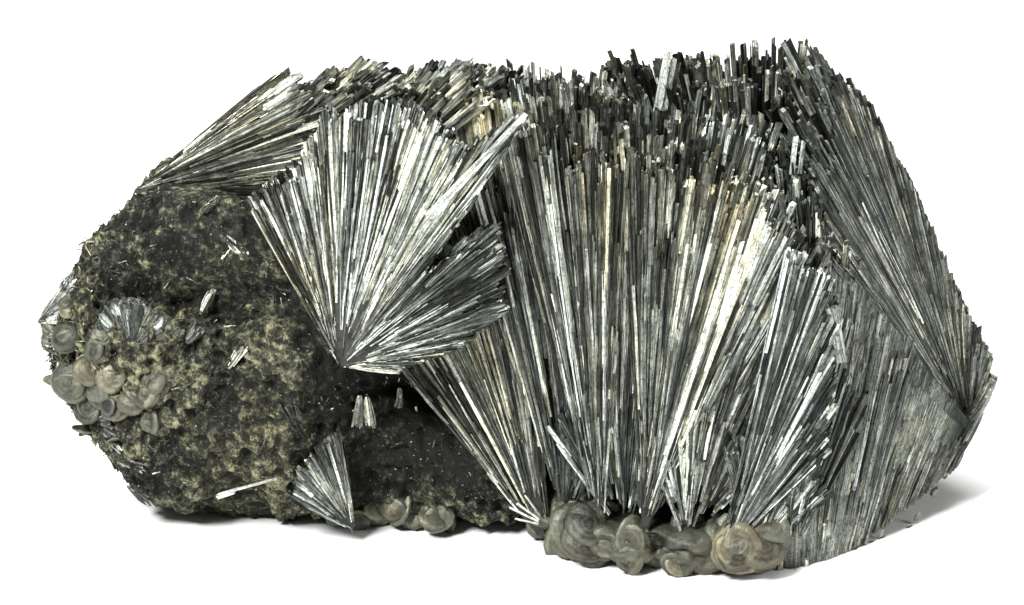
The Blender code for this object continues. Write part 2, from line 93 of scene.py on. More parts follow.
MASS_SPRAYS = {
    "leaning_sheaf": Spray(
        root=(2.3, -9, 1),
        near=[(-13, -4.5, 19), (-12, -4, 30), (-10, -3, 40), (-7, -3, 46.3), (-3.5, -5, 47.3),
              (-1.4, -9, 47)],
        far=[(-13, 5, 21), (-12, 5, 32), (-10, 6.5, 41), (-7, 7, 46), (-3, 7, 47), (1.5, 6.5, 46.5)],
        bright=0.48, warm=0.4, dull=0.25),
    "upright_spray": Spray(
        root=(7.8, -13.5, 5),
        near=[(-1.9, -11, 47), (1.6, -13, 48), (5.8, -13.2, 44.6), (9.9, -13, 44.6)],
        far=[(-2.5, 6, 46), (3, 6, 46), (7, 6.4, 45), (11, 6.4, 45)],
        bright=0.45, warm=0.33, dull=0.3),
    "great_spray": Spray(
        root=(12.1, -14.5, 4.5),
        near=[(9.3, -13, 45.5), (15.4, -14, 43.4), (19.8, -14, 42.9), (23.4, -14, 41.8), (26.8, -13, 37.8),
              (30.8, -11.5, 31.5)],
        far=[(9.5, 6.4, 45), (15, 6.4, 44.8), (20, 6, 44.8), (24, 6, 44.8), (27, 4, 41), (29, 1, 34)],
        bright=0.38, warm=0.32, dull=0.2),
    "low_spray": Spray(
        root=(20.2, -16.3, 2.5),
        near=[(26.8, -14, 34.6), (30.8, -12.6, 32.7), (31.8, -13, 25.4), (31.4, -13.6, 18), (31, -14, 13)],
        far=[(26, -9, 34), (30, -8, 32), (31, -8, 25), (31, -8, 18), (31, -8, 13)],
        bright=0.38, warm=0.15, dull=0.3),
    "right_foot_spray": Spray(
        root=(28, -14, -25),
        near=[(24, -13.6, 14), (27.5, -12.8, 29), (30.8, -10.9, 32.4), (34.8, -8.3, 28), (39.4, -4, 21),
              (43.8, 0, 14.4), (47.6, 4, 8.6)],
        far=[(24, -5, 14), (27, -4, 28), (29, -2, 31), (33, 2, 27), (37, 5, 20), (41, 8, 13.6), (45, 11, 9)],
        bright=0.46, warm=0.32, dull=0.92),
    "right_spray": Spray(
        root=(47.2, 5, 8),
        near=[(30.6, -11.3, 32.6), (29.6, -10.6, 38), (28.4, -9.6, 42.6), (29.8, -4, 46.4), (31.6, 1, 48.2),
              (35.4, 6, 44.2), (40.6, 7, 34.6), (45.4, 7, 23.8), (49.6, 6.5, 15.6)],
        far=[(24, 0, 32), (24, 4, 38), (24, 8, 43), (27, 11, 48.6), (30, 14, 47.4),
             (35, 15.5, 42), (40.6, 15.4, 31.6), (45.2, 14, 21), (48.6, 11, 13.6)],
        bright=0.42, warm=0.3, dull=0.7),
    "back_left_spray": Spray(
        root=(-21, 14, 17),
        near=[(-21.8, -2, 45.6), (-17.6, -2.4, 46.6), (-10.6, -1, 47.4), (-4.8, 1, 47.8), (0, 3, 48)],
        far=[(-30, 17, 39.4), (-20, 17.4, 43), (-12, 17.8, 44.8), (-6.4, 18, 44.4), (-2, 18, 43)],
        bright=0.46, warm=0.3, dull=0.35),
    "back_upright_spray": Spray(
        root=(4, 14.5, 4),
        near=[(-9, 4, 46), (-4, 3, 47), (3, 2, 46.4), (11, 2, 45.2)],
        far=[(-15, 18, 38), (-6, 18.2, 44), (3, 18.2, 43.8), (12, 18.2, 44.8)],
        bright=0.48, warm=0.35, dull=0.4),
    "back_great_spray": Spray(
        root=(26, 15, 3),
        near=[(9, 2, 45.6), (16, 1, 45.6), (22, 1, 46.4), (27, 4, 46.4), (29, 8, 36), (34, 9, 24)],
        far=[(9, 18.2, 44.8), (17, 18.2, 45.4), (24, 17.8, 46), (29.5, 17, 47), (37, 17, 33), (43, 15.6, 20)],
        bright=0.48, warm=0.35, dull=0.4),
}

SMALL_SPRAYS = {
    "left_tip_spray": Spray(
        root=(-50.2, 0, 21.8),
        near=[(-47.4, -2, 26.2), (-46, -2.5, 27.4), (-45, -3, 24.8), (-45.3, -3, 22.6)],
        far=[(-47, 1.5, 26.4), (-45.4, 1.5, 27.6), (-44, 1.5, 25), (-44.5, 1.5, 22.8)],
        bright=0.8, warm=0.2, dull=0.2),
    "left_knob_fan": Spray(
        root=(-39.9, -6.8, 21.3),
        near=[(-43.6, -6, 23.4), (-42.6, -6.3, 25.6), (-41, -6.4, 26.6), (-39, -6.4, 26.4),
              (-36.9, -6.4, 24.8), (-33.8, -6.2, 23)],
        far=[(-43, -3, 23.4), (-42, -3, 25.6), (-41, -3, 26.4), (-39, -3, 26), (-37, -3, 24.4),
             (-34, -3, 22.8)],
        bright=0.46, warm=0.25, dull=0.95),
    "lower_left_spray": Spray(
        root=(-17.4, -7.2, 1.4),
        near=[(-24.2, -8, 5.4), (-23.2, -9, 8.6), (-21.4, -9.4, 11.4), (-19, -9, 13.4)],
        far=[(-24, -3, 6), (-23, -3.5, 9), (-21, -4, 11.6), (-19, -4, 13)],
        bright=0.5, warm=0.2, dull=0.55),
}

# A lofted body is given by stations along X: x, front y, back y, lowest z, highest z
CRUST_STATIONS = [
    (1, -5, 11.4, 1.5, 4.6), (4, -10.5, 14.4, 0.5, 5.6), (8, -14.2, 15.8, 0.4, 5.2),
    (14, -15.6, 16.7, 0.4, 5.2), (20, -16.6, 17, 0.4, 5.4), (25, -15.2, 17.2, 0.5, 6.6),
    (30, -11.3, 17.2, 0.5, 9), (35, -5.5, 17, 0.6, 11),
    (39, -1.6, 16.2, 1.4, 12.4), (43, 0.8, 15, 3.2, 11.8), (46, 3, 13, 5.2, 11.2), (47.6, 5, 10.6, 7.4, 10.6),
    (48, 6, 8, 8.4, 9.8),
]
CRUST_SQUARENESS = 4.0
CRUST_GRID = (96, 116)

ROCK_STATIONS = [
    (-48.9, 0, 2.6, 17.2, 20), (-48.3, -1.6, 4.4, 15, 22.4), (-46.9, -3.4, 6.6, 13, 25.6),
    (-45.3, -4.8, 8.6, 11, 29.4), (-43.2, -6, 10.6, 7.6, 31.4), (-40.5, -6.8, 12.6, 3.2, 33.6),
    (-37, -7.2, 14, 1, 37), (-31, -7.2, 15.6, 0.5, 40), (-24, -7.4, 16.6, 0.4, 38),
    (-18, -7.2, 17.2, 0.4, 34), (-12, -6.6, 17.4, 0.4, 28), (-6, -6.6, 17.2, 0.4, 20),
    (0, -6.4, 16.6, 0.4, 12), (3, -5, 15, 1, 8),
]
ROCK_SQUARENESS = 3.0
ROCK_GRID = (180, 250)
# The rock ends at the planes under the crystals: points (x, z) of its upper outline
ROCK_OUTLINE = [(-29, 36.6), (-21, 28.6), (1.6, 2.2)]
# Planes that everything stays above, each given by a, b, c and d in a x + b y + c z + d = 0: the floor,
# and the worn slope under the right end, which rises by 0.558 for each mm along X
GROUND = [((0.0, 0.0, 1.0), -0.05), ((-0.558, 0.12, 1.0), 20.295)]
# How far apart the roots of a spray's bundles lie, as a share of its length
BUNDLE_DRIFT = 0.035
# Bundles in depth for each bundle across, where the tips of a spray show
DEEP_BUNDLES = 0.8
# Lumps and pits of the rock: a point near the surface, its radius and its height
ROCK_RELIEF = [
    ((-31, -7, 29), 6.5, -4.6), ((-37.5, -6, 30), 4.5, -3.6), ((-25, -7, 29), 4.0, -3.0),
    ((-45, -2, 31), 3.4, 1.2), ((-23.8, -7.4, 18.6), 3.4, 2.6), ((-26, -7, 12), 5.0, 1.4),
    ((-12, -6, 16), 5.5, -5.0), ((-7, -6, 13), 5.0, -3.6), ((-16, -6, 10.5), 3.6, -2.4),
    ((-5, -7, 6), 4.0, 1.4), ((-33, -7, 12), 5.0, 1.2), ((-28, -6, 1), 4.0, -1.4),
    ((-38, 8, 1.2), 5.0, 1.6), ((-27, 1, 0), 5.0, 1.4), ((-26, 13, 0), 5.0, 1.4), ((-10, 0, 0), 5.0, 1.4),
    ((-9, 13, 0), 5.0, 1.4), ((-20, 17, 14), 7.0, 1.6), ((-36, 15, 20), 6.0, -2.4), ((-10, 17, 8), 5.0, -2.0),
]


# Bodies that fill the inside between the sprays, painted dark as shade, given as stations like the crust
FILL_STATIONS = [
    (-19, 0, 11, 31, 38), (-12, -1, 13, 22, 39), (-5, -2, 15, 13, 39), (1, -6, 15.5, 5, 39),
    (6, -9, 16, 2, 38), (12, -11, 16.5, 1.5, 38), (20, -12, 16.5, 1.5, 38), (27, -9.5, 16, 2, 38),
    (33, -5, 15.5, 4, 36), (38, 0, 15, 6, 28), (42, 3, 13, 8, 20),
]

# Sprays that show only between the others, behind their blades
FILL_SPRAYS = [
    Spray(root=(5.0, -11.6, 3.2),
          near=[(-7, -7.5, 44), (-2, -9, 45), (3, -11, 45), (7, -12, 44)],
          far=[(-7, 0, 44), (-2, 0, 45), (3, 0, 45), (7, 0, 44)], bright=0.4, warm=0.32, dull=0.35),
    Spray(root=(10, -13.6, 4.5),
          near=[(2.5, -11.5, 44), (6.5, -12.2, 43.6), (10.5, -12.4, 43.6), (15, -12.8, 42.6)],
          far=[(2, 0, 44), (6, 0, 44), (10, 0, 44), (15, 0, 43)], bright=0.42, warm=0.38, dull=0.35),
    Spray(root=(16, -14.9, 3.2),
          near=[(20, -13, 42), (24.5, -12.6, 38.5), (28, -12.2, 35), (30.6, -12, 27), (31, -12.6, 18)],
          far=[(20, -4, 42), (24, -4, 38), (27, -4, 34), (30, -6, 27), (30, -6, 18)],
          bright=0.36, warm=0.25, dull=0.35),
    Spray(root=(27, -15.2, 1.5),
          near=[(24, -13.4, 24), (28, -12.8, 28), (31.5, -11.2, 29), (34.5, -8.8, 24), (36, -8, 16)],
          far=[(24, -6, 24), (28, -6, 28), (31, -5, 29), (34, -3, 24), (36, -2, 16)],
          bright=0.38, warm=0.25, dull=0.5),
    Spray(root=(4.2, -10.4, 3.2), near=[(1.5, -9.2, 19), (4, -10.2, 22), (7, -11.2, 21), (10, -12.0, 17)],
          far=[(0, -4, 19), (3, -4, 22), (7, -5, 21), (10, -5, 17)], bright=0.46, warm=0.1, dull=0.9),
    Spray(root=(10.2, -13.8, 4.2), near=[(2, -11.6, 15), (6, -12.6, 20), (11, -13, 21), (17, -13.6, 17)],
          far=[(2, -5, 15), (6, -5, 20), (11, -6, 21), (17, -7, 17)], bright=0.45, warm=0.2, dull=0.55),
    Spray(root=(16.6, -15.2, 3.4), near=[(12, -13.8, 15), (15, -13.8, 19), (20, -14, 18), (26, -13.8, 12)],
          far=[(12, -8, 15), (15, -8, 19), (20, -8, 18), (26, -8, 12)], bright=0.42, warm=0.3, dull=0.4),
    Spray(root=(23.4, -15.8, 2.4), near=[(20, -14.6, 14), (24, -14.6, 16), (29, -13.6, 13), (32, -12.4, 8)],
          far=[(20, -8, 14), (24, -8, 16), (29, -8, 13), (32, -8, 8)], bright=0.45, warm=0.2, dull=0.5),
    Spray(root=(-36, 4, 31), near=[(-22.5, -3, 45.6), (-20, -4, 47.4), (-16, -4, 48), (-12, -3, 47.6)],
          far=[(-23, 5, 46), (-20, 6, 47.6), (-16, 7, 48.2), (-12, 7, 47.8)],
          bright=0.4, warm=0.35, dull=0.4),
    Spray(root=(-27, 2, 26), near=[(-14, -5, 46.8), (-10, -6, 48), (-6, -6, 48.2), (-2, -6, 47.4)],
          far=[(-14, 5, 47), (-10, 6, 48.2), (-6, 6, 48.4), (-2, 6, 47.6)], bright=0.5, warm=0.4, dull=0.35),
    Spray(root=(31, -7.5, -20),
          near=[(33.5, -8.6, 16), (37, -6.2, 17), (41, -3.0, 15.6), (44.6, 0.2, 11.2), (46.6, 2.6, 9),
                (48.6, 4.0, 11.6), (50.1, 5.6, 13.6), (50.1, 8, 11)],
          far=[(34, -2, 16), (38, 0, 17), (42, 3, 15.6), (44, 6, 11.2), (45, 8, 9), (46, 10, 11.6),
               (47, 11, 13.6), (48, 13, 11)], bright=0.5, warm=0.3, dull=0.85),
    Spray(root=(30.5, -7, 4),
          near=[(23.5, -10.6, 43), (26.5, -10.2, 42.2), (29, -10.4, 39.6), (31.4, -10.6, 36), (34, -8.6, 31)],
          far=[(23, -3, 44.6), (26, -2.5, 44.6), (29, -3, 43), (32, -3, 38), (34.6, -3, 32)],
          bright=0.42, warm=0.3, dull=0.45),
    Spray(root=(15, 15.4, 1.5), near=[(6, 9, 22), (12, 9, 27), (18, 9, 27), (25, 9, 22)],
          far=[(6, 16.6, 22), (12, 17.2, 27), (18, 17.2, 27), (25, 16.8, 22)],
          bright=0.45, warm=0.3, dull=0.5),
    Spray(root=(27, 15.6, 1.5), near=[(19, 9, 12), (24, 9, 17), (30, 9, 17), (36, 9, 12)],
          far=[(19, 16.8, 12), (24, 17.2, 17), (30, 17, 17), (36, 16.6, 12)],
          bright=0.45, warm=0.3, dull=0.5),
    Spray(root=(38, 14.2, 1), near=[(31, 8, 16), (35, 8, 22), (40, 8, 20), (44, 8, 17)],
          far=[(31, 16.2, 16), (35, 16.4, 22), (40, 15.6, 20), (44, 14.4, 17)],
          bright=0.45, warm=0.3, dull=0.5),
    Spray(root=(14, 15.2, 8), near=[(6, 9, 42), (10, 9, 44), (14, 9, 44), (18, 9, 43)],
          far=[(6, 16.8, 42), (10, 17, 44), (14, 17, 44), (18, 16.8, 43)], bright=0.42, warm=0.3, dull=0.4),
    Spray(root=(0.5, 15, 3), near=[(-16, 9, 24), (-11, 9, 30), (-7, 9, 34), (-3, 9, 36)],
          far=[(-16, 16.6, 24), (-11, 17, 30), (-7, 17.2, 34), (-3, 17.2, 36)],
          bright=0.42, warm=0.3, dull=0.4),
]

# Zones painted brighter as highlights or darker as shade, and warmer or cooler in tint: centre, radius, and
# both changes
PAINTED_LIGHT_ZONES = [
    ((-15.5, -11, 36), 9, 0.16, -0.05), ((-17.5, -9.5, 26), 5, 0.12, 0.0), ((-7, -13.5, 40), 4, 0.2, 0.0),
    ((-5, -12, 29.5), 6, -0.32, -0.1), ((-24, -8, 30), 3.5, 0.15, 0.45), ((22, -14, 35), 6, 0.35, 0.1),
    ((16.5, -14.3, 14), 5, 0.22, 0.05), ((18.7, -14, 27), 5, 0.22, 0.1), ((7, -10, 42), 5, 0.0, 0.3),
    ((20, -13.5, 41), 3.5, 0.0, 0.35), ((-4.5, -5, 45), 4, 0.4, 0.12), ((3.6, -11, 46), 2.8, -0.5, 0.0),
    ((27, -14, 14), 5, -0.15, -0.2), ((38.7, 3, 39), 1.2, -0.5, 0.0), ((41.3, 4.5, 30.3), 1.2, -0.5, 0.0),
    ((45.5, 3, 9.8), 2.4, -0.4, 0.0), ((-29, -2, 36), 4.5, -0.3, 0.0), ((-23, -4, 37.5), 3.5, -0.35, 0.0),
    ((5, -12.5, 12), 6, -0.1, -0.15), ((-19.4, -9, 12.8), 3.4, -0.4, 0.0), ((-24, -8, 5.5), 2.5, -0.3, 0.0),
    ((-5, -5, 22), 2.5, 0.3, 0.35), ((31, -6, 45), 6, -0.1, -0.05), ((-20.8, -8.5, 6.6), 2, 0.3, 0.0),
    ((30, -13, 3), 7, 0.18, 0.05), ((2, -7, 46), 6, 0.12, 0.0),
]
# Zones on the rock: darker in its pits and recesses as painted shade, and lighter and warmer in patches of
# its own colour: centre, radius, and both changes
ROCK_SHADE_AND_TONE_ZONES = [
    ((-30, -7, 29), 8, -0.16, -0.1), ((-37.5, -6, 30), 6, -0.16, -0.1), ((-27, -7, 33.5), 3, -0.4, 0.0),
    ((-44.5, -3, 31), 3.4, 0.3, 0.2),
    ((-12, -6, 16), 8, -0.5, 0.0), ((-6, -6, 12), 6, -0.35, 0.0), ((-23.8, -8, 19), 3, 0.2, 0.2),
    ((-28, -7, 12), 8, 0.1, 0.1), ((-16, -6, 10), 5, -0.15, 0.0), ((-12, -7, 2), 4, 0.3, 0.2),
    ((-25.5, -8, 24), 3, 0.2, 0.25), ((-18, -8, 18), 3, -0.4, 0.0),
]
# The hole in the crust, sunk in and painted dark as shade: its middle and radius
CRUST_HOLE = ((13.6, -15.6, 3.4), 1.1)


# Fill sprays by the piece that carries them
FILLED = {"mass_blades_left": (0, 1, 4, 5), "mass_blades_middle": (2, 6, 7), "mass_blades_right": (3, 11)}
LEANING = (8, 9)
BEHIND = (12, 13, 14, 15, 16)
WORN_END = 10

# Little sprays on the rock's front: root and tips as (x, z), how bright, warm and dull
LAID_SPRAYS = [
    ((-32.5, 34.9), [(-28.4, 30.2), (-27.8, 30.8)], 0.75, 0.4, 0.3),
    ((-34.5, 33.4), [(-30.9, 36.9), (-30.4, 36.5)], 0.6, 0.6, 0.3),
    ((-31.0, 17.8), [(-28.7, 22.2), (-27.9, 21.8)], 0.6, 0.35, 0.5),
    ((-33.8, 23.2), [(-31.9, 26.5), (-31.4, 26.2)], 0.55, 0.35, 0.4),
    ((-34.9, 21.3), [(-33.4, 24.2), (-32.4, 23.2)], 0.4, 0.2, 0.8),
    ((-18.0, 2.2), [(-27.0, 14.0), (-24.0, 16.0), (-22.0, 15.0)], 0.36, 0.3, 0.7),
    ((-16.4, 18.4), [(-17.6, 12.0), (-15.0, 11.4)], 0.6, 0.3, 0.3),
    ((-12.6, 16.8), [(-13.2, 13.4), (-12.4, 13.2)], 0.45, 0.3, 0.7),
    ((-44.0, 8.0), [(-40.0, 10.0), (-38.9, 8.6), (-38.8, 7.0)], 0.7, 0.2, 0.4),
    ((-44.4, 12.6), [(-42.6, 14.4), (-41.2, 12.0), (-41.4, 9.8)], 0.4, 0.3, 0.85),
    ((-42.3, 6.4), [(-38.8, 4.6), (-38.6, 2.4), (-40.0, 1.8)], 0.42, 0.25, 0.75),
    ((-48.6, 15.5), [(-47.8, 18.9), (-46.2, 18.6), (-45.8, 17.0)], 0.85, 0.2, 0.2),
]
# Round shells on the rock: x, z and radius
ROCK_SHELLS = [
    (-46.7, 21.6, 1.7), (-43.3, 21.0, 1.6), (-44.4, 18.8, 1.7), (-41.9, 18.2, 1.7), (-43.1, 16.5, 1.9),
    (-37.3, 18.0, 1.6), (-38.3, 17.0, 1.5), (-41.7, 15.2, 1.5), (-37.7, 14.1, 1.4), (-46.4, 16.8, 2.3),
    (-39.8, 16.2, 1.5), (-44.6, 14.2, 1.6), (-17.0, 1.0, 1.5), (-15.5, 1.9, 1.9), (-13.2, 2.5, 2.0),
    (-11.4, 1.4, 1.8), (-9.2, 2.2, 1.9), (-7.8, 1.1, 1.5), (-19.4, 1.4, 1.4),
]

# Single crystals that stand out, most painted bright as highlights: start, end, width, brightness and warmth
Crystal = namedtuple("Crystal", "start end width bright warm")
LONE_CRYSTALS = [
    Crystal((13.6, 4.4, 42.2), (14.8, 4.6, 49.4), 0.8, 1.0, 0.3),
    Crystal((14.4, 4.6, 42.4), (15.5, 4.8, 48.8), 0.5, 0.85, 0.35),
    Crystal((15.0, 4.8, 42.6), (15.9, 5.0, 48.2), 0.5, 0.3, 0.4),
    Crystal((26.9, -6.4, 40.0), (27.2, -6.6, 44.0), 0.5, 1.0, 0.2),
    Crystal((27.7, -6.2, 40.0), (28.0, -6.4, 43.4), 0.4, 0.9, 0.2),
    Crystal((31.9, -13.0, 22.4), (30.7, -12.8, 28.2), 1.2, 0.62, 0.3),
    Crystal((24.4, -15.2, 10.4), (29.6, -14.2, 21.6), 0.35, 1.0, 0.15),
    Crystal((22.6, -15.6, 7.4), (27.8, -14.6, 16.0), 0.3, 0.95, 0.1),
    Crystal((23.0, -15.5, 9.0), (26.0, -14.8, 15.0), 0.25, 0.9, 0.1),
    Crystal((-9.5, -13.4, 38.0), (0.1, -17.0, 49.4), 0.5, 0.95, 0.2),
    Crystal((-10.5, -13.2, 36.0), (-1.4, -16.8, 47.6), 0.35, 0.85, 0.2),
    Crystal((-8.0, -13.6, 40.5), (-1.0, -16.6, 49.3), 0.4, 0.7, 0.15),
    Crystal((19.4, -14.5, 27.0), (21.6, -14.4, 35.6), 0.4, 1.0, 0.4),
    Crystal((18.2, -14.6, 22.0), (21.0, -14.4, 31.5), 0.35, 1.0, 0.35),
    Crystal((20.8, -14.5, 30.0), (23.0, -14.4, 38.0), 0.45, 0.95, 0.45),
    Crystal((1.6, -9.6, 3.6), (-1.4, -9.2, 5.0), 0.22, 1.0, 0.2),
    Crystal((1.6, -9.8, 3.4), (-0.8, -9.6, 3.9), 0.2, 0.95, 0.2),
    Crystal((1.7, -9.5, 3.8), (-0.6, -9.1, 5.4), 0.25, 0.9, 0.2),
    Crystal((1.8, -9.4, 4.2), (0.2, -8.8, 6.2), 0.2, 0.8, 0.2),
    Crystal((-31.2, -8.6, 6.2), (-25.2, -8.8, 8.0), 0.25, 0.9, 0.4),
    Crystal((-31.4, -8.4, 5.8), (-29.6, -8.8, 6.6), 0.5, 0.9, 0.3),
    Crystal((2.4, -8.4, 9.6), (-6.6, -4.2, 26.8), 0.35, 0.85, 0.75),
    Crystal((1.6, -8.0, 9.6), (-7.4, -4.0, 26.2), 0.3, 0.75, 0.7),
]


def along(line, share):
    """Points at these shares of a line of points, its stretches taken as equally long."""
    line = np.asarray(line, float)
    places = np.asarray(share) * (len(line) - 1)
    return np.stack([np.interp(places, np.arange(len(line)), line[:, axis]) for axis in range(3)], axis=-1)


def unit(vectors):
    """The vectors with their length made one."""
    return vectors / (np.linalg.norm(vectors, axis=-1, keepdims=True) + 1e-12)


def noise_field(points, size, rng, octaves=4):
    """Smooth noise of about -1 to 1: lattice values every size mm, mixed by 3t^2 - 2t^3 between lattice
    points, and added at half the size and half the height for each further octave."""
    total = np.zeros(len(points))
    height = 1.0
    for _ in range(octaves):
        scaled = points / size + rng.uniform(50, 90, 3)
        cell = np.floor(scaled).astype(int)
        part = scaled - cell
        blend = part * part * (3 - 2 * part)
        lattice = rng.uniform(-1, 1, (64, 64, 64))
        value = np.zeros(len(points))
        for dx in (0, 1):
            for dy in (0, 1):
                for dz in (0, 1):
                    weight = (np.abs(1 - dx - blend[:, 0]) * np.abs(1 - dy - blend[:, 1])
                              * np.abs(1 - dz - blend[:, 2]))
                    corner = (cell + (dx, dy, dz)) % 64
                    value += weight * lattice[corner[:, 0], corner[:, 1], corner[:, 2]]
        total += height * value
        size, height = size / 2, height / 2
    return total


def add_piece(name, points, quads, material, look=None, maps=(), smooth=False):
    """A mesh object from points in millimetres and an array of four-cornered faces.

    look is one colour a point, and maps are UV maps as (name, one place a corner).
    """
    mesh = bpy.data.meshes.new(name)
    mesh.vertices.add(len(points))
    mesh.vertices.foreach_set("co", (inside_box(points) * MM).astype(np.float32).ravel())
    mesh.loops.add(quads.size)
    mesh.loops.foreach_set("vertex_index", quads.astype(np.int32).ravel())
    mesh.polygons.add(len(quads))
    mesh.polygons.foreach_set("loop_start", np.arange(0, quads.size, 4, dtype=np.int32))
    mesh.polygons.foreach_set("use_smooth", np.full(len(quads), smooth))
    if look is not None:
        layer = mesh.attributes.new("look", "FLOAT_COLOR", "POINT")
        layer.data.foreach_set("color", np.hstack([look, np.ones((len(look), 1))]).astype(np.float32).ravel())
    for map_name, places in maps:
        layer = mesh.uv_layers.new(name=map_name)
        layer.uv.foreach_set("vector", places.astype(np.float32).ravel())
    mesh.materials.append(material)
    mesh.update(calc_edges=True)
    obj = bpy.data.objects.new(name, mesh)
    bpy.context.scene.collection.objects.link(obj)
    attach(obj, BODY)
    return obj


def ring_faces(rings, turns):
    """The faces between each closed ring of points and the next."""
    index = np.arange(rings * turns).reshape(rings, turns)
    onward = np.roll(index, -1, axis=1)
    return np.stack([index[:-1], onward[:-1], onward[1:], index[1:]], axis=-1).reshape(-1, 4)


def facing_out(points, quads):
    """The faces, turned round if the body inside them comes out with a negative volume, which is the sum
    of a . (b x c) over its triangles."""
    a, b, c, d = (points[quads[:, corner]] for corner in range(4))
    volume = (a * (np.cross(b, c) + np.cross(c, d))).sum()
    return quads if volume > 0 else quads[:, ::-1]


def inside_box(points):
    """The points moved to the nearest place inside the box of the loaded solids."""
    low, high = np.array(cad_box) / MM
    return np.clip(points, low, high)


def merged(parts):
    """Several (points, faces) as one, with the faces' numbers moved on."""
    firsts = np.cumsum([0] + [len(points) for points, _ in parts[:-1]])
    return (np.vstack([points for points, _ in parts]),
            np.vstack([quads + first for (_, quads), first in zip(parts, firsts)]))


# Prisms: needles, blades and columns, all of a piece's worked out together

RINGS = 4
CORNERS = np.array([(-1, 1), (1, 1), (1, -1), (-1, -1)])


def prisms(middle, wide, thick, half_width, half_thick, slant):
    """Points and faces of thin bars with a rectangle for a section.

    middle has each bar's line of ring centres, wide and thick are the directions of its section's two
    sides, and slant shifts the corners of its last ring along the bar, as a share of its half width.
    """
    count = len(middle)
    way = unit(middle[:, -1] - middle[:, 0])
    points = (middle[:, :, None]
              + wide[:, None, None] * (half_width[..., None] * CORNERS[:, 0])[..., None]
              + thick[:, None, None] * (half_thick[..., None] * CORNERS[:, 1])[..., None])
    points[:, -1] += way[:, None] * ((slant @ CORNERS.T) * half_width[:, -1:])[..., None]
    index = np.arange(count * RINGS * 4).reshape(count, RINGS, 4)
    onward = np.roll(index, -1, axis=2)
    sides = np.stack([index[:, :-1], index[:, 1:], onward[:, 1:], onward[:, :-1]], axis=-1)
    caps = np.stack([index[:, 0], index[:, -1, ::-1]], axis=1)
    faces = np.concatenate([sides.reshape(count, -1, 4), caps], axis=1)
    flip = (np.cross(wide, thick) * way).sum(axis=1) < 0
    faces[flip] = faces[flip][:, :, ::-1]
    return points.reshape(-1, 3), faces.reshape(-1, 4), flip


def fibre_places(length, half_width, half_thick, flip, rng):
    """UV places in millimetres for prisms: around the bar across, and along the bar upward."""
    count = len(length)
    width, thick = 2 * half_width[:, -1], 2 * half_thick[:, -1]
    edges = np.cumsum(np.stack([0 * width, width, thick, width, thick], axis=1), axis=1)
    edges += rng.uniform(0, 60, (count, 1))
    level = (length + rng.uniform(0, 60, (count, 1)))[:, :, None]
    low, high = edges[:, None, :4], edges[:, None, 1:]
    base, top = level[:, :-1], level[:, 1:]
    corners = [np.stack(np.broadcast_arrays(side, height), -1)
               for side, height in ((low, base), (low, top), (high, top), (high, base))]
    sides = np.stack(corners, axis=3).reshape(count, -1, 4, 2)
    square = np.array([(0, 0), (1, 0), (1, 1), (0, 1)]) * width[:, None, None] + edges[:, :1, None]
    places = np.concatenate([sides, np.stack([square, square], axis=1)], axis=1)
    places[flip] = places[flip][:, :, ::-1]
    return places.reshape(-1, 2)


def cell_places(count):
    """UV places that give each prism a cell of its own in a square: four strips for its sides and one
    for its ends."""
    columns = int(np.ceil(np.sqrt(count)))
    number = np.arange(count)
    origin = np.stack([number % columns, number // columns], axis=1)[:, None, None] / columns
    strip = np.arange(4)[None] / 5 + np.zeros((RINGS - 1, 1))
    base = np.arange(RINGS - 1)[:, None] / (RINGS - 1) + 0 * strip
    top = base + 1 / (RINGS - 1)
    corners = [np.stack([side, height], -1)
               for side, height in ((strip, base), (strip, top), (strip + 0.2, top), (strip + 0.2, base))]
    sides = np.stack(corners, axis=2).reshape(-1, 4, 2)
    square = np.array([(0.8, 0), (1, 0), (1, 0.4), (0.8, 0.4)])
    inside = 0.04 + 0.92 * np.concatenate([sides, [square, square + (0, 0.5)]])
    return (origin + inside[None] / columns).reshape(-1, 2)


# How much brighter the blades painted as glints are than the rest, how much darker the dark ones are, and the
# shares of plain, bright and dark ones
PAINTED_GLINT_BLADE = 0.5
DARK_BLADE = -0.4
BLADE_SHARES = (0.69, 0.11, 0.2)
# How much the tone varies from bundle to bundle, and from blade to blade
BUNDLE_TONE = 0.66
OWN_TONE = 0.24
# How much lighter the blades of the tips are painted, painted light against the shade among them, and their
# tone from ring to ring, darker up to the broken end
TIP_PAINTED_LIFT = 0.2
TIP_SHADE = (1, 1, 1, 0.65)

# Where blades lie on a spray: which side of it, how many, how deep under that side in mm, their start
# and end as shares of the ray, their width in mm, how many bundles side by side, and how far bundles turn
Coat = namedtuple("Coat", "side count sink start end width bundles turn")


def spray_places(spray, side, u, v):
    """Tips, outward directions and sideways directions at these places of one side of a spray."""
    step = 0.004
    near, far = along(spray.near, u), along(spray.far, u)
    tip = near + (far - near) * v[:, None]
    later, sooner = np.minimum(u + step, 1), np.maximum(u - step, 0)
    sideways = unit(along(spray.near, later) - along(spray.near, sooner)
                    + along(spray.far, later) - along(spray.far, sooner))
    inward = unit(far - near)
    if side == "far":
        return tip, inward, sideways
    if side == "start":
        return tip, -sideways, inward
    if side == "end":
        return tip, sideways, inward
    return tip, -inward, sideways


def above_ground(points, clearance):
    """The points, moved straight up where they are less than the clearance in mm above the ground."""
    points = points.copy()
    for plane, offset in GROUND:
        points[..., 2] += np.maximum(clearance - offset - points @ np.array(plane), 0)
    return points


def start_above_ground(root, ray, start):
    """The starts, moved on where needed so that root + ray t is above the ground: it passes a plane where
    t is the root's depth below the plane divided by what the ray rises over it."""
    for plane, offset in GROUND:
        depth = -(root @ np.array(plane) + offset)
        rise = np.maximum(ray @ np.array(plane), 1e-6)
        start = np.where(depth > 0, np.maximum(start, depth / rise), start)
    return start


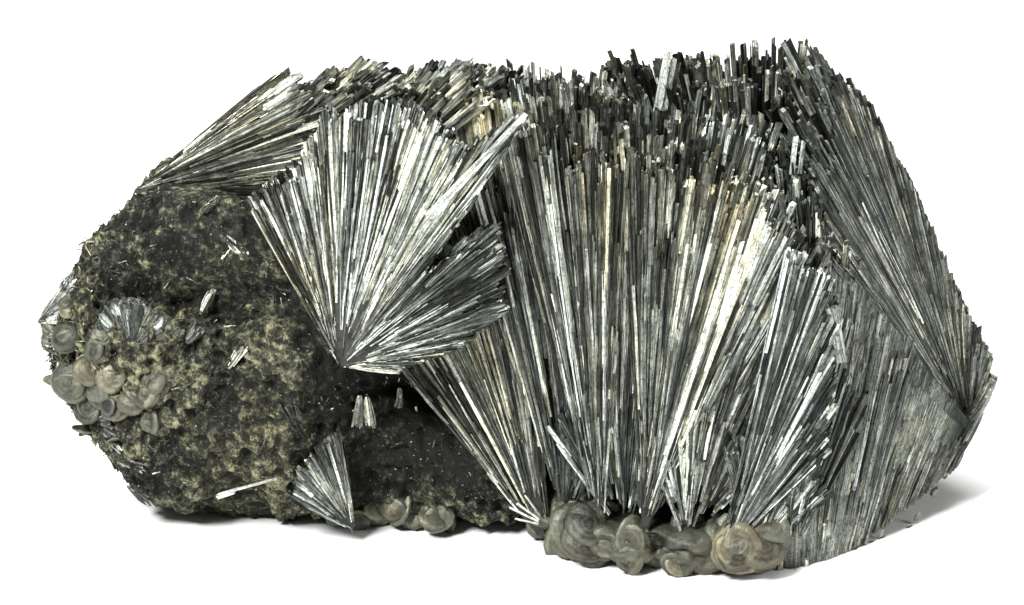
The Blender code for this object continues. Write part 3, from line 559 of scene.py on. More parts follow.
def coat_batch(spray, coat, rng):
    """The prisms of one coat of a spray, as (middle, wide, thick, half width, half thick, slant, look).

    Each blade's middle line is root + (tip - root) t. Its width grows in proportion to 0.45 + 0.55 t.
    Blades belong to bundles of three sizes, and a bundle shares its start, end, depth, turn and tone.
    """
    def within(limits, share):
        return limits[0] + (limits[1] - limits[0]) * share

    count = coat.count
    u, v = rng.uniform(0, 1, count), rng.uniform(0, 1, count)
    size = rng.integers(0, 3, count)
    cells = np.maximum(coat.bundles * np.array([0.5, 1, 2]), 1)[size]
    number = np.floor(u * cells).astype(int) + 1000 * size
    if coat.side == "tips":
        deep = np.maximum(coat.bundles * DEEP_BUNDLES, 2)
        number += 10000 * np.floor(v * deep).astype(int)
    _, bundle = np.unique(number, return_inverse=True)
    shared = rng.uniform(0, 1, (bundle.max() + 1, 8))[bundle]
    own = rng.uniform(0, 1, (count, 3))

    if coat.side == "near":
        v = 0 * v
    elif coat.side == "far":
        v = 0 * v + 1
    elif coat.side == "start":
        u, v = 0 * u, u
    elif coat.side == "end":
        u, v = 0 * u + 1, u
    root = np.array(spray.root, float)
    tip, out, sideways = spray_places(spray, coat.side, u, v)
    start = within(coat.start, 0.5 * shared[:, 0] + 0.5 * own[:, 0])
    end = within(coat.end, 0.75 * shared[:, 1] + 0.25 * own[:, 1])
    sink = within(coat.sink, 0.6 * shared[:, 2] + 0.4 * own[:, 2])
    tip = tip - out * sink[:, None]
    drift = BUNDLE_DRIFT * np.linalg.norm(tip - root, axis=1, keepdims=True)
    shift = (shared[:, 6:8] - 0.5) * drift * (1, 0.5)
    tip += sideways * shift[:, :1] * 1.5
    root = root + sideways * shift[:, :1] + out * (shift[:, 1:] - 0.2)
    ray = tip - root
    start = start_above_ground(root, ray, np.minimum(start, end - 0.05))
    start = np.minimum(start, end - 0.02)
    way = unit(ray)
    across = unit(sideways - way * (sideways * way).sum(axis=1, keepdims=True))
    outward = np.cross(way, across)
    outward *= np.where((outward * out).sum(axis=1, keepdims=True) < 0, -1, 1)
    turn = coat.turn * (2 * shared[:, 3] - 1) + rng.normal(0, 0.22, count)
    wide = across * np.cos(turn)[:, None] + outward * np.sin(turn)[:, None]
    thick = outward * np.cos(turn)[:, None] - across * np.sin(turn)[:, None]

    shares = start[:, None] + (end - start)[:, None] * np.linspace(0, 1, RINGS)
    middle = root[:, None] + ray[:, None] * shares[..., None]
    bend = wide * rng.normal(0, 0.06, (count, 1)) + thick * rng.normal(0, 0.05, (count, 1))
    middle[:, 1:-1] += bend[:, None]
    grow = 0.45 + 0.55 * shares
    half_width = rng.uniform(*coat.width, (count, 1)) / 2 * grow
    half_thick = half_width * rng.uniform(0.35, 0.8, (count, 1))
    slant = rng.normal(0, 0.5, (count, 2))

    # Painted highlights and painted shade of the zones, with their tint
    zone = zone_change(middle, PAINTED_LIGHT_ZONES)
    spread = 1 - 0.75 * spray.dull
    tone = spray.bright + spread * (BUNDLE_TONE * (shared[:, 4] - 0.5) + rng.normal(0, OWN_TONE, count))
    tone += spread * rng.choice([0.0, PAINTED_GLINT_BLADE, DARK_BLADE], count, p=BLADE_SHARES)
    bright = tone[:, None] + zone[..., 0]
    if coat.side == "tips":
        bright = (bright + TIP_PAINTED_LIFT + 0.5 * (shared[:, 4:5] - 0.5)) * TIP_SHADE
    warm = (spray.warm + 0.3 * (shared[:, 5] - 0.5) + rng.normal(0, 0.1, count))[:, None] + zone[..., 1]
    dull = (spray.dull + rng.normal(0, 0.1, count))[:, None] + 0 * bright
    look = np.clip(np.stack([bright, warm, dull], axis=-1), 0, 1)
    return middle, wide, thick, half_width, half_thick, slant, look


def zone_change(points, zones):
    """How much painted light and shade and how much warmth each point gets: every zone adds its
    amounts times exp(-(distance / radius)^2)."""
    change = np.zeros((*points.shape[:-1], 2))
    for centre, radius, bright, warm in zones:
        away = np.linalg.norm(points - np.array(centre), axis=-1) / radius
        change += np.exp(-away ** 2)[..., None] * np.array([bright, warm])
    return change


def lone_batch(crystals, rng):
    """The prisms of single crystals given as start, end, width, brightness and warmth."""
    count = len(crystals)
    first, last = (np.array([crystal[part] for crystal in crystals], float) for part in (0, 1))
    width = np.array([crystal.width for crystal in crystals])[:, None]
    way = unit(last - first)
    wide = unit(np.cross(way, (0, 1, 0.2)))
    thick = np.cross(wide, way)
    middle = first[:, None] + (last - first)[:, None] * np.linspace(0, 1, RINGS)[:, None]
    look = np.array([(crystal.bright, crystal.warm, 0.7) for crystal in crystals])
    look = np.repeat(look[:, None], RINGS, axis=1)
    return (middle, wide, thick, width / 2 * np.ones(RINGS), width / 4 * np.ones(RINGS),
            rng.normal(0, 0.4, (count, 2)), look)


def prism_piece(name, batches, material, node, rng):
    """One piece of all the prisms of these batches, in place of a loaded solid."""
    middle, wide, thick, half_width, half_thick, slant, look = (
        np.concatenate(column) for column in zip(*batches))
    points, quads, flip = prisms(middle, wide, thick, half_width, half_thick, slant)
    length = np.linalg.norm(middle - middle[:, :1], axis=-1)
    fibre = fibre_places(length, half_width, half_thick, flip, rng)
    looks = np.repeat(look.reshape(-1, 3), 4, axis=0)
    points[:, 2] = np.maximum(points[:, 2], 0)
    piece = add_piece(name, points, quads, material, looks,
                      (("fibre", fibre), ("OFBake", cell_places(len(middle)))))
    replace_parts(piece, node)
    return piece


def spray_core(spray, inset, reach):
    """Points and faces of the body behind a spray's blades, painted dark as shade: its tip patch drawn in by
    inset mm on its broad sides and to this share of its length, ruled down to the root."""
    across, deep = 60, 6
    u = np.linspace(0.01, 0.99, across)
    near, far = along(spray.near, u), along(spray.far, u)
    inward = unit(far - near) * inset
    near, far = near + inward, far - inward
    v = np.linspace(0, 1, deep)[:, None, None]
    tips = (near * (1 - v) + far * v).transpose(1, 0, 2)
    root = np.array(spray.root, float)
    points = (root + (tips - root) * reach).reshape(-1, 3)
    index = np.arange(len(points)).reshape(across, deep)
    faces = np.stack([index[:-1, :-1], index[1:, :-1], index[1:, 1:], index[:-1, 1:]], axis=-1).reshape(-1, 4)
    rim = np.concatenate([index[:-1, 0], index[-1, :-1], index[:0:-1, -1], index[0, :0:-1]])
    ray = points[rim] - root
    lower = root + ray * (0.01 + start_above_ground(root + 0 * ray, ray, np.full(len(rim), 0.01)))[:, None]
    middle = lower.mean(axis=0)
    rings = len(points) + np.arange(2 * len(rim)).reshape(2, -1)
    rings = np.vstack([rim, rings])
    onward = np.roll(rings, -1, axis=1)
    sides = np.stack([onward[:-1], rings[:-1], rings[1:], onward[1:]], axis=-1).reshape(-1, 4)
    points = above_ground(np.vstack([points, lower, middle + (lower - middle) * 0.01]), 0.4)
    return points, facing_out(points, np.vstack([faces, sides]))


# Rock and crust: lofted bodies with relief

def smooth_rows(rows, share):
    """Rows of values at these shares of a list of rows, along a curve that passes through every row.

    Between rows b and c, with a before and d after them, the curve is the cubic whose slope at b is
    (c - a) / 2 and at c is (d - b) / 2.
    """
    rows = np.asarray(rows, float)
    padded = np.vstack([2 * rows[0] - rows[1], rows, 2 * rows[-1] - rows[-2]])
    place = np.asarray(share) * (len(rows) - 1)
    first = np.minimum(place.astype(int), len(rows) - 2)
    t = (place - first)[:, None]
    a, b, c, d = (padded[first + step] for step in range(4))
    return b + t / 2 * (c - a + t * (2 * a - 5 * b + 4 * c - d + t * (3 * (b - c) + d - a)))


def lofted_grid(stations, grid, power):
    """Points, outward directions and faces of a body lofted along X through rounded blocks.

    At each place the section is where |y/b|^p + |z/c|^p = 1 about its middle, with b and c half its
    depth and height. The first and last rings shrink to a hundredth, which closes the ends.
    """
    steps, turns = grid
    x, front, back, low, high = smooth_rows(stations, np.linspace(0, 1, steps)).T[..., None]
    turn = 2 * np.pi * (np.arange(turns) + 0.5) / turns
    size = (np.abs(np.cos(turn)) ** power + np.abs(np.sin(turn)) ** power) ** (-1 / power)
    y = (front + back) / 2 + (back - front) / 2 * np.cos(turn) * size
    z = (low + high) / 2 + (high - low) / 2 * np.sin(turn) * size
    ring = np.stack([x + 0 * y, y, z], axis=-1)
    middle = ring.mean(axis=1, keepdims=True)
    way = unit(ring - middle)
    way[0], way[-1] = (-1, 0, 0), (1, 0, 0)
    ring[[0, -1]] = middle[[0, -1]] + (ring - middle)[[0, -1]] * 0.01
    return ring.reshape(-1, 3), way.reshape(-1, 3), ring_faces(steps, turns)


def relief_shift(points, relief):
    """How far each point moves out: every lump adds its height times exp(-(distance / radius)^2)."""
    shift = np.zeros(len(points))
    for centre, radius, height in relief:
        away = np.linalg.norm(points - np.array(centre), axis=1) / radius
        shift += height * np.exp(-away ** 2)
    return shift


def nearest_two(points, seeds):
    """The distances from each point to its nearest and second nearest seed, and the nearest's number."""
    best = np.full(len(points), np.inf)
    second = np.full(len(points), np.inf)
    which = np.zeros(len(points), int)
    for number, seed in enumerate(seeds):
        away = np.linalg.norm(points - seed, axis=1)
        closer = away < best
        second = np.where(closer, best, np.minimum(second, away))
        which = np.where(closer, number, which)
        best = np.where(closer, away, best)
    return best, second, which


def rock_surface(rng):
    """Points, outward directions, faces and looks of the rock: its lofted body with lumps and pits,
    patches that broke at different levels, and crumbs as creased noise, 0.5 - |noise|."""
    points, way, quads = lofted_grid(ROCK_STATIONS, ROCK_GRID, ROCK_SQUARENESS)
    low, high = points.min(axis=0), points.max(axis=0)
    seeds = rng.uniform(low, high, (420, 3))
    drift = np.stack([noise_field(points, 2.0, rng, 2) for _ in range(3)], axis=1)
    best, second, which = nearest_two(points + 0.6 * drift, seeds)
    level = rng.uniform(-1, 1, len(seeds))[which]
    edge = np.clip((second - best) / 0.6, 0, 1)
    broad = noise_field(points, 4.5, rng, 3)
    crumbs = 0.5 - np.abs(noise_field(points, 1.5, rng, 3))
    fine = 0.4 - np.abs(noise_field(points, 0.8, rng, 2))
    shift = relief_shift(points, ROCK_RELIEF) + 0.9 * level * edge
    shift += 0.55 * broad + 1.3 * crumbs + 0.6 * fine - 0.5
    points = points + way * shift[:, None]
    x, z = points[:, 0], points[:, 2]
    outline_x = [-90] + [corner[0] for corner in ROCK_OUTLINE] + [60]
    outline_z = [ROCK_OUTLINE[0][1]] + [corner[1] for corner in ROCK_OUTLINE] + [ROCK_OUTLINE[-1][1] - 60]
    points[:, 2] = np.clip(z, 0, np.interp(x, outline_x, outline_z))
    points[:, 0] = np.minimum(x, ROCK_OUTLINE[-1][0])
    zone = zone_change(points, ROCK_SHADE_AND_TONE_ZONES)
    # Lighter where crumbs, broken patches and swells stand out and darker in the hollows, painted light and
    # shade, plus the zones' painted shade
    bright = 0.28 + 0.34 * crumbs + 0.16 * level + 0.14 * broad + 0.3 * fine + zone[:, 0]
    warm = 0.28 + 0.25 * broad + zone[:, 1]
    look = np.clip(np.stack([bright, warm, 0.5 + 0 * warm], axis=1), 0, 1)
    return points, way, quads, look


def crust_surface(rng):
    """Points, outward directions, faces and looks of the crust at the base: every point rises on the
    dome of its nearest knob, sqrt(r^2 - d^2), so that domes meet in creases."""
    points, way, quads = lofted_grid(CRUST_STATIONS, CRUST_GRID, CRUST_SQUARENESS)
    seeds = points[rng.choice(len(points), 300, replace=False)] + rng.normal(0, 0.4, (300, 3))
    best, _, which = nearest_two(points, seeds)
    radius = rng.uniform(1.5, 3.0, len(seeds))[which]
    dome = np.sqrt(np.maximum(radius ** 2 - best ** 2, 0))
    fine = noise_field(points, 0.8, rng, 3)
    worn = np.clip((points[:, 0] - 26) / 5, 0, 1)
    shift = (1 - worn) * (0.6 * dome - 0.9) + worn * (0.3 * noise_field(points, 2.5, rng, 3) - 1.6)
    place, radius = CRUST_HOLE
    hole = np.exp(-(np.linalg.norm(points - np.array(place), axis=1) / radius) ** 2)
    shift += 0.1 * fine - 2.2 * hole
    points = above_ground(points + way * shift[:, None], -0.05)
    # The hole is painted dark as shade, and the fine grain a little lighter where it stands out, painted
    # light
    bright = 0.38 - 0.04 * worn + 0.12 * fine + 0.1 * (rng.uniform(-1, 1, len(seeds))[which]) - 0.6 * hole
    look = np.clip(np.stack([bright, 0.5 - 0.3 * worn + 0.2 * fine, 0.5 + 0 * worn], axis=1), 0, 1)
    return points, way, quads, look


def front_depth(points, x, z):
    """How far forward the surface comes, in mm along Y, near this place seen from the front."""
    close = np.hypot(points[:, 0] - x, points[:, 2] - z) < 0.7
    return points[close, 1].min() if close.any() else 0.0


def laid_spray(surface, root, tips, bright, warm, dull, lift=0.15, depth=1.6):
    """A little spray that lies on a surface's front, from places given as (x, z)."""
    def on_surface(place, forward):
        return place[0], front_depth(surface, *place) - forward, place[1]
    return Spray(on_surface(root, 0.2), [on_surface(tip, lift) for tip in tips],
                 [on_surface(tip, lift - depth) for tip in tips], bright, warm, dull)


# A shell's profile: distance from its axis and height, as shares of its radius, and change in brightness: a
# painted highlight at the rim and painted shade under it
SHELL_PROFILE = [
    (0.01, 0.45, -0.08), (0.4, 0.42, 0.0), (0.7, 0.33, 0.02), (0.9, 0.2, 0.14), (1.0, 0.04, 0.12),
    (0.94, -0.12, -0.35), (0.01, -0.4, -0.4),
]


def shells(centres, axes, radii, rng):
    """Points, faces, looks and UV places of round shells: p = c + r (s (cos a e1 + sin a e2) + h n),
    where s, h and the brightness follow the shells' profile from the top over the rim to below, with a
    painted highlight on the rim and painted shade under it."""
    turns = 14
    across, height, tone = np.array(SHELL_PROFILE).T
    count = len(centres)
    helper = unit(np.cross(axes, rng.normal(0, 1, (count, 3))))
    other = np.cross(axes, helper)
    turn = 2 * np.pi * np.arange(turns) / turns
    circle = helper[:, None] * np.cos(turn)[:, None] + other[:, None] * np.sin(turn)[:, None]
    wobble = 1 + 0.06 * np.sin(turn * 3 + rng.uniform(0, 6, (count, 1)))
    flat = rng.uniform(0.5, 1.1, (count, 1, 1, 1))
    points = (centres[:, None, None]
              + radii[:, None, None, None] * (across[:, None, None] * (circle * wobble[..., None])[:, None]
                                              + flat * height[:, None, None] * axes[:, None, None]))
    rows = len(across)
    index = np.arange(count * rows * turns).reshape(count, rows, turns)
    onward = np.roll(index, -1, axis=2)
    quads = np.stack([index[:, :-1], index[:, 1:], onward[:, 1:], onward[:, :-1]], axis=-1)
    # The profile's brightness paints a highlight on each rim and shade under it
    bright = 0.25 + rng.normal(0, 0.09, (count, 1, 1)) + tone[:, None] + np.zeros((1, 1, turns))
    warm = 0.45 + rng.normal(0, 0.2, (count, 1, 1)) + 0 * bright
    look = np.clip(np.stack([bright, warm, 0.5 + 0 * bright], axis=-1), 0, 1).reshape(-1, 3)
    ring = 2 * (across * radii[:, None])[..., None] + rng.uniform(0, 60, (count, 1, 1))
    part = np.arange(turns + 1) / 3.0 + rng.uniform(0, 60, (count, 1, 1))
    corner = [np.stack(np.broadcast_arrays(ring[:, rows_of], part[:, :, turns_of]), -1)
              for rows_of, turns_of in ((slice(0, -1), slice(0, -1)), (slice(1, None), slice(0, -1)),
                                        (slice(1, None), slice(1, None)), (slice(0, -1), slice(1, None)))]
    places = np.stack(corner, axis=3).reshape(-1, 2)
    return points.reshape(-1, 3), quads.reshape(-1, 4), look, places


def shell_piece(name, spots, normals, sizes, material, node, rng):
    """Clusters of nested shells: on each spot three, smaller and further out, each tipped a little."""
    nested = 3
    centres = np.repeat(spots, nested, axis=0)
    axes = unit(np.repeat(normals, nested, axis=0) + rng.normal(0, 0.3, (len(centres), 3)))
    step = np.tile(np.arange(nested), len(spots))
    radii = np.repeat(sizes, nested) * (1 - 0.16 * step)
    centres = centres + axes * (0.1 * radii * step)[:, None] + rng.normal(0, 0.16, centres.shape)
    points, quads, look, places = shells(centres, axes, radii, rng)
    points[:, 2] = np.maximum(points[:, 2], 0)
    piece = add_piece(name, points, quads, material, look, (("rings", places),),
                      smooth=True)
    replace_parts(piece, node)


# Materials

class Nodes:
    """Short words for adding and joining a material's nodes."""

    def __init__(self, name, roughness=0.5, metallic=0.0):
        self.material = bpy.data.materials.new(name)
        self.material.use_nodes = True
        self.tree = self.material.node_tree
        self.shader = self.tree.nodes["Principled BSDF"]
        self.shader.inputs["Roughness"].default_value = roughness
        self.shader.inputs["Metallic"].default_value = metallic

    def add(self, kind, **values):
        """A node with these settings and input values."""
        node = self.tree.nodes.new(kind)
        for key, value in values.items():
            if hasattr(node, key):
                setattr(node, key, value)
            else:
                node.inputs[key.replace("_", " ")].default_value = value
        return node

    def join(self, source, target):
        """A link from one socket to another."""
        self.tree.links.new(source, target)

    def noise(self, coordinate, scale, detail=3.0, roughness=0.6):
        """A noise texture's value at this coordinate."""
        node = self.add("ShaderNodeTexNoise", Scale=scale, Detail=detail, Roughness=roughness)
        self.join(coordinate, node.inputs["Vector"])
        return node.outputs["Fac"]

    def look_parts(self):
        """The three parts of a piece's look: how bright, how warm and how dull."""
        look = self.add("ShaderNodeAttribute", attribute_name="look")
        parts = self.add("ShaderNodeSeparateColor")
        self.join(look.outputs["Color"], parts.inputs["Color"])
        return parts.outputs

    def ramp(self, value, *stops):
        """A colour ramp through (place, colour) stops."""
        node = self.add("ShaderNodeValToRGB")
        elements = node.color_ramp.elements
        while len(elements) < len(stops):
            elements.new(0.5)
        for element, (place, colour) in zip(elements, stops):
            element.position = place
            element.color = (*colour, 1)
        self.join(value, node.inputs["Fac"])
        return node.outputs["Color"]

    def mix(self, share, first, second, blend="MIX"):
        """Two colours mixed: each is a socket or a plain colour, and so is the share or a number."""
        node = self.add("ShaderNodeMix", data_type="RGBA", blend_type=blend)
        for value, place in ((share, 0), (first, 6), (second, 7)):
            if isinstance(value, bpy.types.NodeSocket):
                self.join(value, node.inputs[place])
            else:
                node.inputs[place].default_value = value if place == 0 else (*value, 1)
        return node.outputs[2]

    def maths(self, operation, first, second):
        """A sum on two numbers: each is a socket or a plain number."""
        node = self.add("ShaderNodeMath", operation=operation)
        for value, place in ((first, 0), (second, 1)):
            if isinstance(value, bpy.types.NodeSocket):
                self.join(value, node.inputs[place])
            else:
                node.inputs[place].default_value = value
        return node.outputs[0]

    def varied(self, tone, noise, amount):
        """A tone that a noise moves up and down: tone + (noise - 0.5) amount."""
        return self.maths("ADD", tone, self.maths("MULTIPLY", self.maths("SUBTRACT", noise, 0.5), amount))

    def stretched(self, socket, scale):
        """A coordinate multiplied along each axis."""
        node = self.add("ShaderNodeMapping")
        node.inputs["Scale"].default_value = scale
        self.join(socket, node.inputs["Vector"])
        return node.outputs["Vector"]

    def bump(self, height, strength, distance):
        """Small relief from a height."""
        node = self.add("ShaderNodeBump", Strength=strength, Distance=distance)
        self.join(height, node.inputs["Height"])
        self.join(node.outputs["Normal"], self.shader.inputs["Normal"])


def blade_material():
    """Striated metal: each blade's look sets its tone, brassiness and dullness, with fine streaks along
    the fibre, dark specks and patches of tarnish. The tone carries painted highlights and painted shade,
    and the brightest tones turn less metallic and show white, a painted highlight."""
    nodes = Nodes("pyrolusite_blades_look", metallic=0.72)
    bright, warm, dull = nodes.look_parts()
    place = nodes.add("ShaderNodeTexCoord").outputs["Object"]
    fibre = nodes.add("ShaderNodeUVMap", uv_map="fibre").outputs["UV"]
    streaks = nodes.noise(nodes.stretched(fibre, (4.5, 0.25, 1)), 1.0, 3.0, 0.8)
    fine = nodes.noise(nodes.stretched(fibre, (16, 0.8, 1)), 1.0, 0.0, 0.6)
    broad = nodes.noise(place, 420.0, 2.0, 0.75)
    tone = nodes.varied(bright, streaks, 1.6)
    tone = nodes.varied(tone, broad, 0.5)
    grey = nodes.ramp(tone, (0.0, (0.012, 0.013, 0.012)), (0.3, (0.055, 0.058, 0.053)),
                      (0.55, (0.17, 0.175, 0.165)), (0.8, (0.44, 0.445, 0.435)), (1.0, (0.92, 0.92, 0.91)))
    tint = nodes.ramp(warm, (0.0, (0.92, 0.98, 0.98)), (0.35, (0.96, 1.0, 0.88)), (0.65, (1.1, 1.04, 0.76)),
                      (1.0, (1.3, 1.02, 0.58)))
    colour = nodes.mix(1.0, grey, tint, "MULTIPLY")
    specks = nodes.ramp(nodes.noise(place, 3200.0, 1.0, 0.7), (0.36, (0.2, 0.2, 0.19)), (0.45, (1, 1, 1)))
    colour = nodes.mix(0.6, colour, specks, "MULTIPLY")
    pits = nodes.ramp(nodes.noise(nodes.stretched(fibre, (3.2, 1.1, 1)), 1.0, 1.0, 0.6),
                      (0.33, (0.12, 0.12, 0.11)), (0.4, (1, 1, 1)))
    colour = nodes.mix(nodes.maths("MULTIPLY", dull, 0.9), colour, pits, "MULTIPLY")
    nodes.join(colour, nodes.shader.inputs["Base Color"])
    roughness = nodes.maths("ADD", nodes.maths("MULTIPLY", dull, 0.4), 0.14)
    roughness = nodes.maths("ADD", roughness, nodes.maths("MULTIPLY", fine, 0.2))
    nodes.join(roughness, nodes.shader.inputs["Roughness"])
    # The brightest tones lose metallic and show white: a painted highlight
    glare = nodes.maths("MAXIMUM", nodes.maths("SUBTRACT", tone, 0.7), 0.0)
    nodes.join(nodes.maths("SUBTRACT", 0.76, glare), nodes.shader.inputs["Metallic"])
    nodes.bump(fine, 0.6, 0.0001)
    return nodes.material


def rock_material():
    """Dull brown-black rock: grains of three tones over the look's tone, which carries painted light and
    shade, with small bright painted glints.
    """
    nodes = Nodes("dark_rock_look", roughness=0.7)
    nodes.shader.inputs["Specular IOR Level"].default_value = 0.2
    bright, warm, _ = nodes.look_parts()
    place = nodes.add("ShaderNodeTexCoord").outputs["Object"]
    grain = nodes.noise(place, 1300.0, 3.0, 0.8)
    broad = nodes.noise(place, 320.0, 2.0, 0.75)
    tone = nodes.varied(bright, broad, 0.7)
    tone = nodes.varied(tone, grain, 2.3)
    grey = nodes.ramp(tone, (0.08, (0.004, 0.004, 0.003)), (0.38, (0.02, 0.02, 0.016)),
                      (0.62, (0.08, 0.076, 0.056)), (0.92, (0.26, 0.245, 0.18)))
    tint = nodes.ramp(warm, (0.1, (0.92, 1.0, 0.88)), (0.5, (0.98, 1.0, 0.8)), (0.9, (1.2, 1.0, 0.62)))
    colour = nodes.mix(1.0, grey, tint, "MULTIPLY")
    # Small bright dots added to the colour: painted glints
    glints = nodes.ramp(nodes.noise(place, 3400.0, 1.0, 0.7), (0.72, (0, 0, 0)), (0.78, (0.35, 0.34, 0.3)))
    colour = nodes.mix(1.0, colour, glints, "ADD")
    nodes.join(colour, nodes.shader.inputs["Base Color"])
    nodes.bump(grain, 0.8, 0.0004)
    return nodes.material


def crust_material():
    """Dull brownish or greenish grey shells with dark specks, and faint rings where a piece maps them."""
    nodes = Nodes("botryoidal_crust_look", roughness=0.5, metallic=0.4)
    bright, warm, _ = nodes.look_parts()
    place = nodes.add("ShaderNodeTexCoord").outputs["Object"]
    bands = nodes.add("ShaderNodeTexWave", Scale=0.26, Distortion=7.0, Detail=4.0)
    nodes.join(nodes.add("ShaderNodeUVMap", uv_map="rings").outputs["UV"], bands.inputs["Vector"])
    rings = bands.outputs["Fac"]
    broad = nodes.noise(place, 230.0, 2.0, 0.6)
    grain = nodes.noise(place, 1300.0, 3.0, 0.7)
    tone = nodes.varied(bright, rings, 0.12)
    tone = nodes.varied(tone, broad, 0.5)
    tone = nodes.varied(tone, grain, 0.6)
    grey = nodes.ramp(tone, (0.05, (0.02, 0.02, 0.018)), (0.45, (0.12, 0.122, 0.105)),
                      (0.75, (0.27, 0.27, 0.235)), (1.0, (0.5, 0.5, 0.45)))
    tint = nodes.ramp(warm, (0.1, (0.93, 1.0, 0.88)), (0.5, (1.0, 1.0, 0.82)), (0.95, (1.2, 1.0, 0.66)))
    colour = nodes.mix(1.0, grey, tint, "MULTIPLY")
    nodes.join(colour, nodes.shader.inputs["Base Color"])
    nodes.bump(grain, 0.5, 0.0003)
    return nodes.material


def core_material():
    """Near black paint for the depth between blades: painted shade."""
    nodes = Nodes("core_painted_shade", roughness=0.6, metallic=0.3)
    place = nodes.add("ShaderNodeTexCoord").outputs["Object"]
    colour = nodes.ramp(nodes.noise(place, 700.0, 2.0, 0.7), (0.3, (0.008, 0.008, 0.008)),
                        (0.7, (0.05, 0.05, 0.045)))
    nodes.join(colour, nodes.shader.inputs["Base Color"])
    return nodes.material


# The pieces

# How a spray of the mass is covered: blades on its near side, its bundles across, its blades' width, the
# tips' blades and the far side's blades, and the starts of its blades as shares of the ray
Cover = namedtuple("Cover", "near bundles width tips far start")
COVERS = {
    "leaning_sheaf": Cover(640, 12, (0.14, 0.46), 330, 30, (0.02, 0.75)),
    "upright_spray": Cover(600, 11, (0.12, 0.42), 400, 30, (0.02, 0.75)),
    "great_spray": Cover(1200, 22, (0.12, 0.44), 600, 30, (0.02, 0.75)),
    "low_spray": Cover(680, 12, (0.12, 0.42), 130, 30, (0.02, 0.75)),
    "right_foot_spray": Cover(300, 26, (0.2, 0.7), 220, 30, (0.5, 0.8)),
    "right_spray": Cover(1200, 30, (0.16, 0.5), 600, 120, (0.02, 0.75)),
    "back_left_spray": Cover(60, 14, (0.3, 0.8), 460, 330, (0.0, 0.5)),
    "back_upright_spray": Cover(40, 14, (0.3, 0.8), 400, 330, (0.0, 0.5)),
    "back_great_spray": Cover(60, 18, (0.3, 0.8), 480, 500, (0.0, 0.5)),
}
GROUPS = {
    "mass_blades_left": ("leaning_sheaf", "upright_spray"),
    "mass_blades_middle": ("great_spray", "low_spray"),
    "mass_blades_right": ("right_foot_spray", "right_spray"),
    "mass_blades_back": ("back_left_spray", "back_upright_spray", "back_great_spray"),
}


def covered(spray, cover, rng):
    """The batches of blades that cover one spray of the mass on every side."""
    side = cover.near // 9
    dull = spray.dull
    turn = 0.8 - 0.7 * dull
    broken_start = (cover.start[0], 0.6 * cover.start[1] + 0.4 * cover.start[0])
    coats = [
        Coat("near", cover.near, (-0.4 + 0.2 * dull, 1.6 - 1.2 * dull), cover.start, (0.86, 1.0), cover.width,
             cover.bundles, turn),
        Coat("near", cover.near // 3, (-0.8 + 0.7 * dull, 0.1), broken_start, (0.35, 0.97), cover.width,
             cover.bundles, turn),
        Coat("tips", cover.tips, (0, 0), (0.68, 0.78), (0.91, 1.03), (0.2, 0.65), cover.bundles * 0.5, 1.2),
        Coat("start", side, (-0.2, 0.8), cover.start, (0.9, 1.0), cover.width, 6, 0.6),
        Coat("end", side, (-0.2, 0.8), cover.start, (0.9, 1.0), cover.width, 6, 0.6),
        Coat("far", cover.far, (-0.3, 0.7), cover.start, (0.88, 1.0), cover.width, cover.bundles, 0.6),
    ]
    return [coat_batch(spray, coat, rng) for coat in coats]


def worn_plate(spray, sink, rng):
    """Points, faces, looks and fibre places of a worn face: the near side of a spray as one closed sheet.

    Its front is root + (tip - root) t from the ground to t = 1, with broad swells and with ridges that
    run along the rays. Its back lies deeper in, and meets the front at both ends.
    """
    across, rows = 120, 26
    u = np.linspace(0, 1, across)
    root = np.array(spray.root, float)
    inward = unit(along(spray.far, u) - along(spray.near, u))
    tips = along(spray.near, u) + inward * sink
    ray = tips - root
    first = start_above_ground(root + 0 * ray, ray, np.zeros(across))
    shares = first[:, None] + (1 - first)[:, None] * np.linspace(0, 1, rows)
    reach = np.linalg.norm(ray, axis=1, keepdims=True) * shares
    arc = np.cumsum(np.linalg.norm(np.diff(tips, axis=0, prepend=tips[:1]), axis=1))[:, None] + 0 * reach
    front = root + ray[:, None] * shares[..., None]
    grain = np.stack([arc, 0.1 * reach, 0 * reach], axis=-1).reshape(-1, 3)
    ridge = noise_field(grain, 0.9, rng, 3).reshape(reach.shape)
    swell = noise_field(front.reshape(-1, 3), 7.0, rng, 2).reshape(reach.shape)
    front = front - inward[:, None] * (0.14 * ridge + 0.35 * swell)[..., None]
    depth = 1.6 * np.minimum(1, 8 * np.minimum(u, 1 - u))
    back = front + inward[:, None] * depth[:, None, None]
    points = above_ground(np.concatenate([front, back[:, ::-1]], axis=1), 0)
    quads = facing_out(points.reshape(-1, 3), ring_faces(across, 2 * rows))
    # Lighter where swells and ridges stand out and darker between them, painted light and shade, with the
    # zones' painted highlights and shade
    bright = spray.bright + 0.12 * swell + 0.16 * ridge + zone_change(front, PAINTED_LIGHT_ZONES)[..., 0]
    look = np.stack([bright, 0.28 + 0.15 * swell, 0.95 + 0 * swell], axis=-1)
    look = np.clip(np.concatenate([look, look[:, ::-1]], axis=1), 0, 1)
    fibre = np.stack([arc, reach], axis=-1)
    fibre = np.concatenate([fibre, fibre[:, ::-1]], axis=1).reshape(-1, 2)
    return points.reshape(-1, 3), quads, look.reshape(-1, 3), fibre[quads.ravel()]


def cores(name, sprays, node, material, inset, reach, extra=()):
    """One piece of the bodies behind these sprays' blades, painted dark as shade."""
    points, quads = merged([spray_core(spray, inset, reach) for spray in sprays] + list(extra))
    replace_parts(add_piece(name, points, quads, material), node)


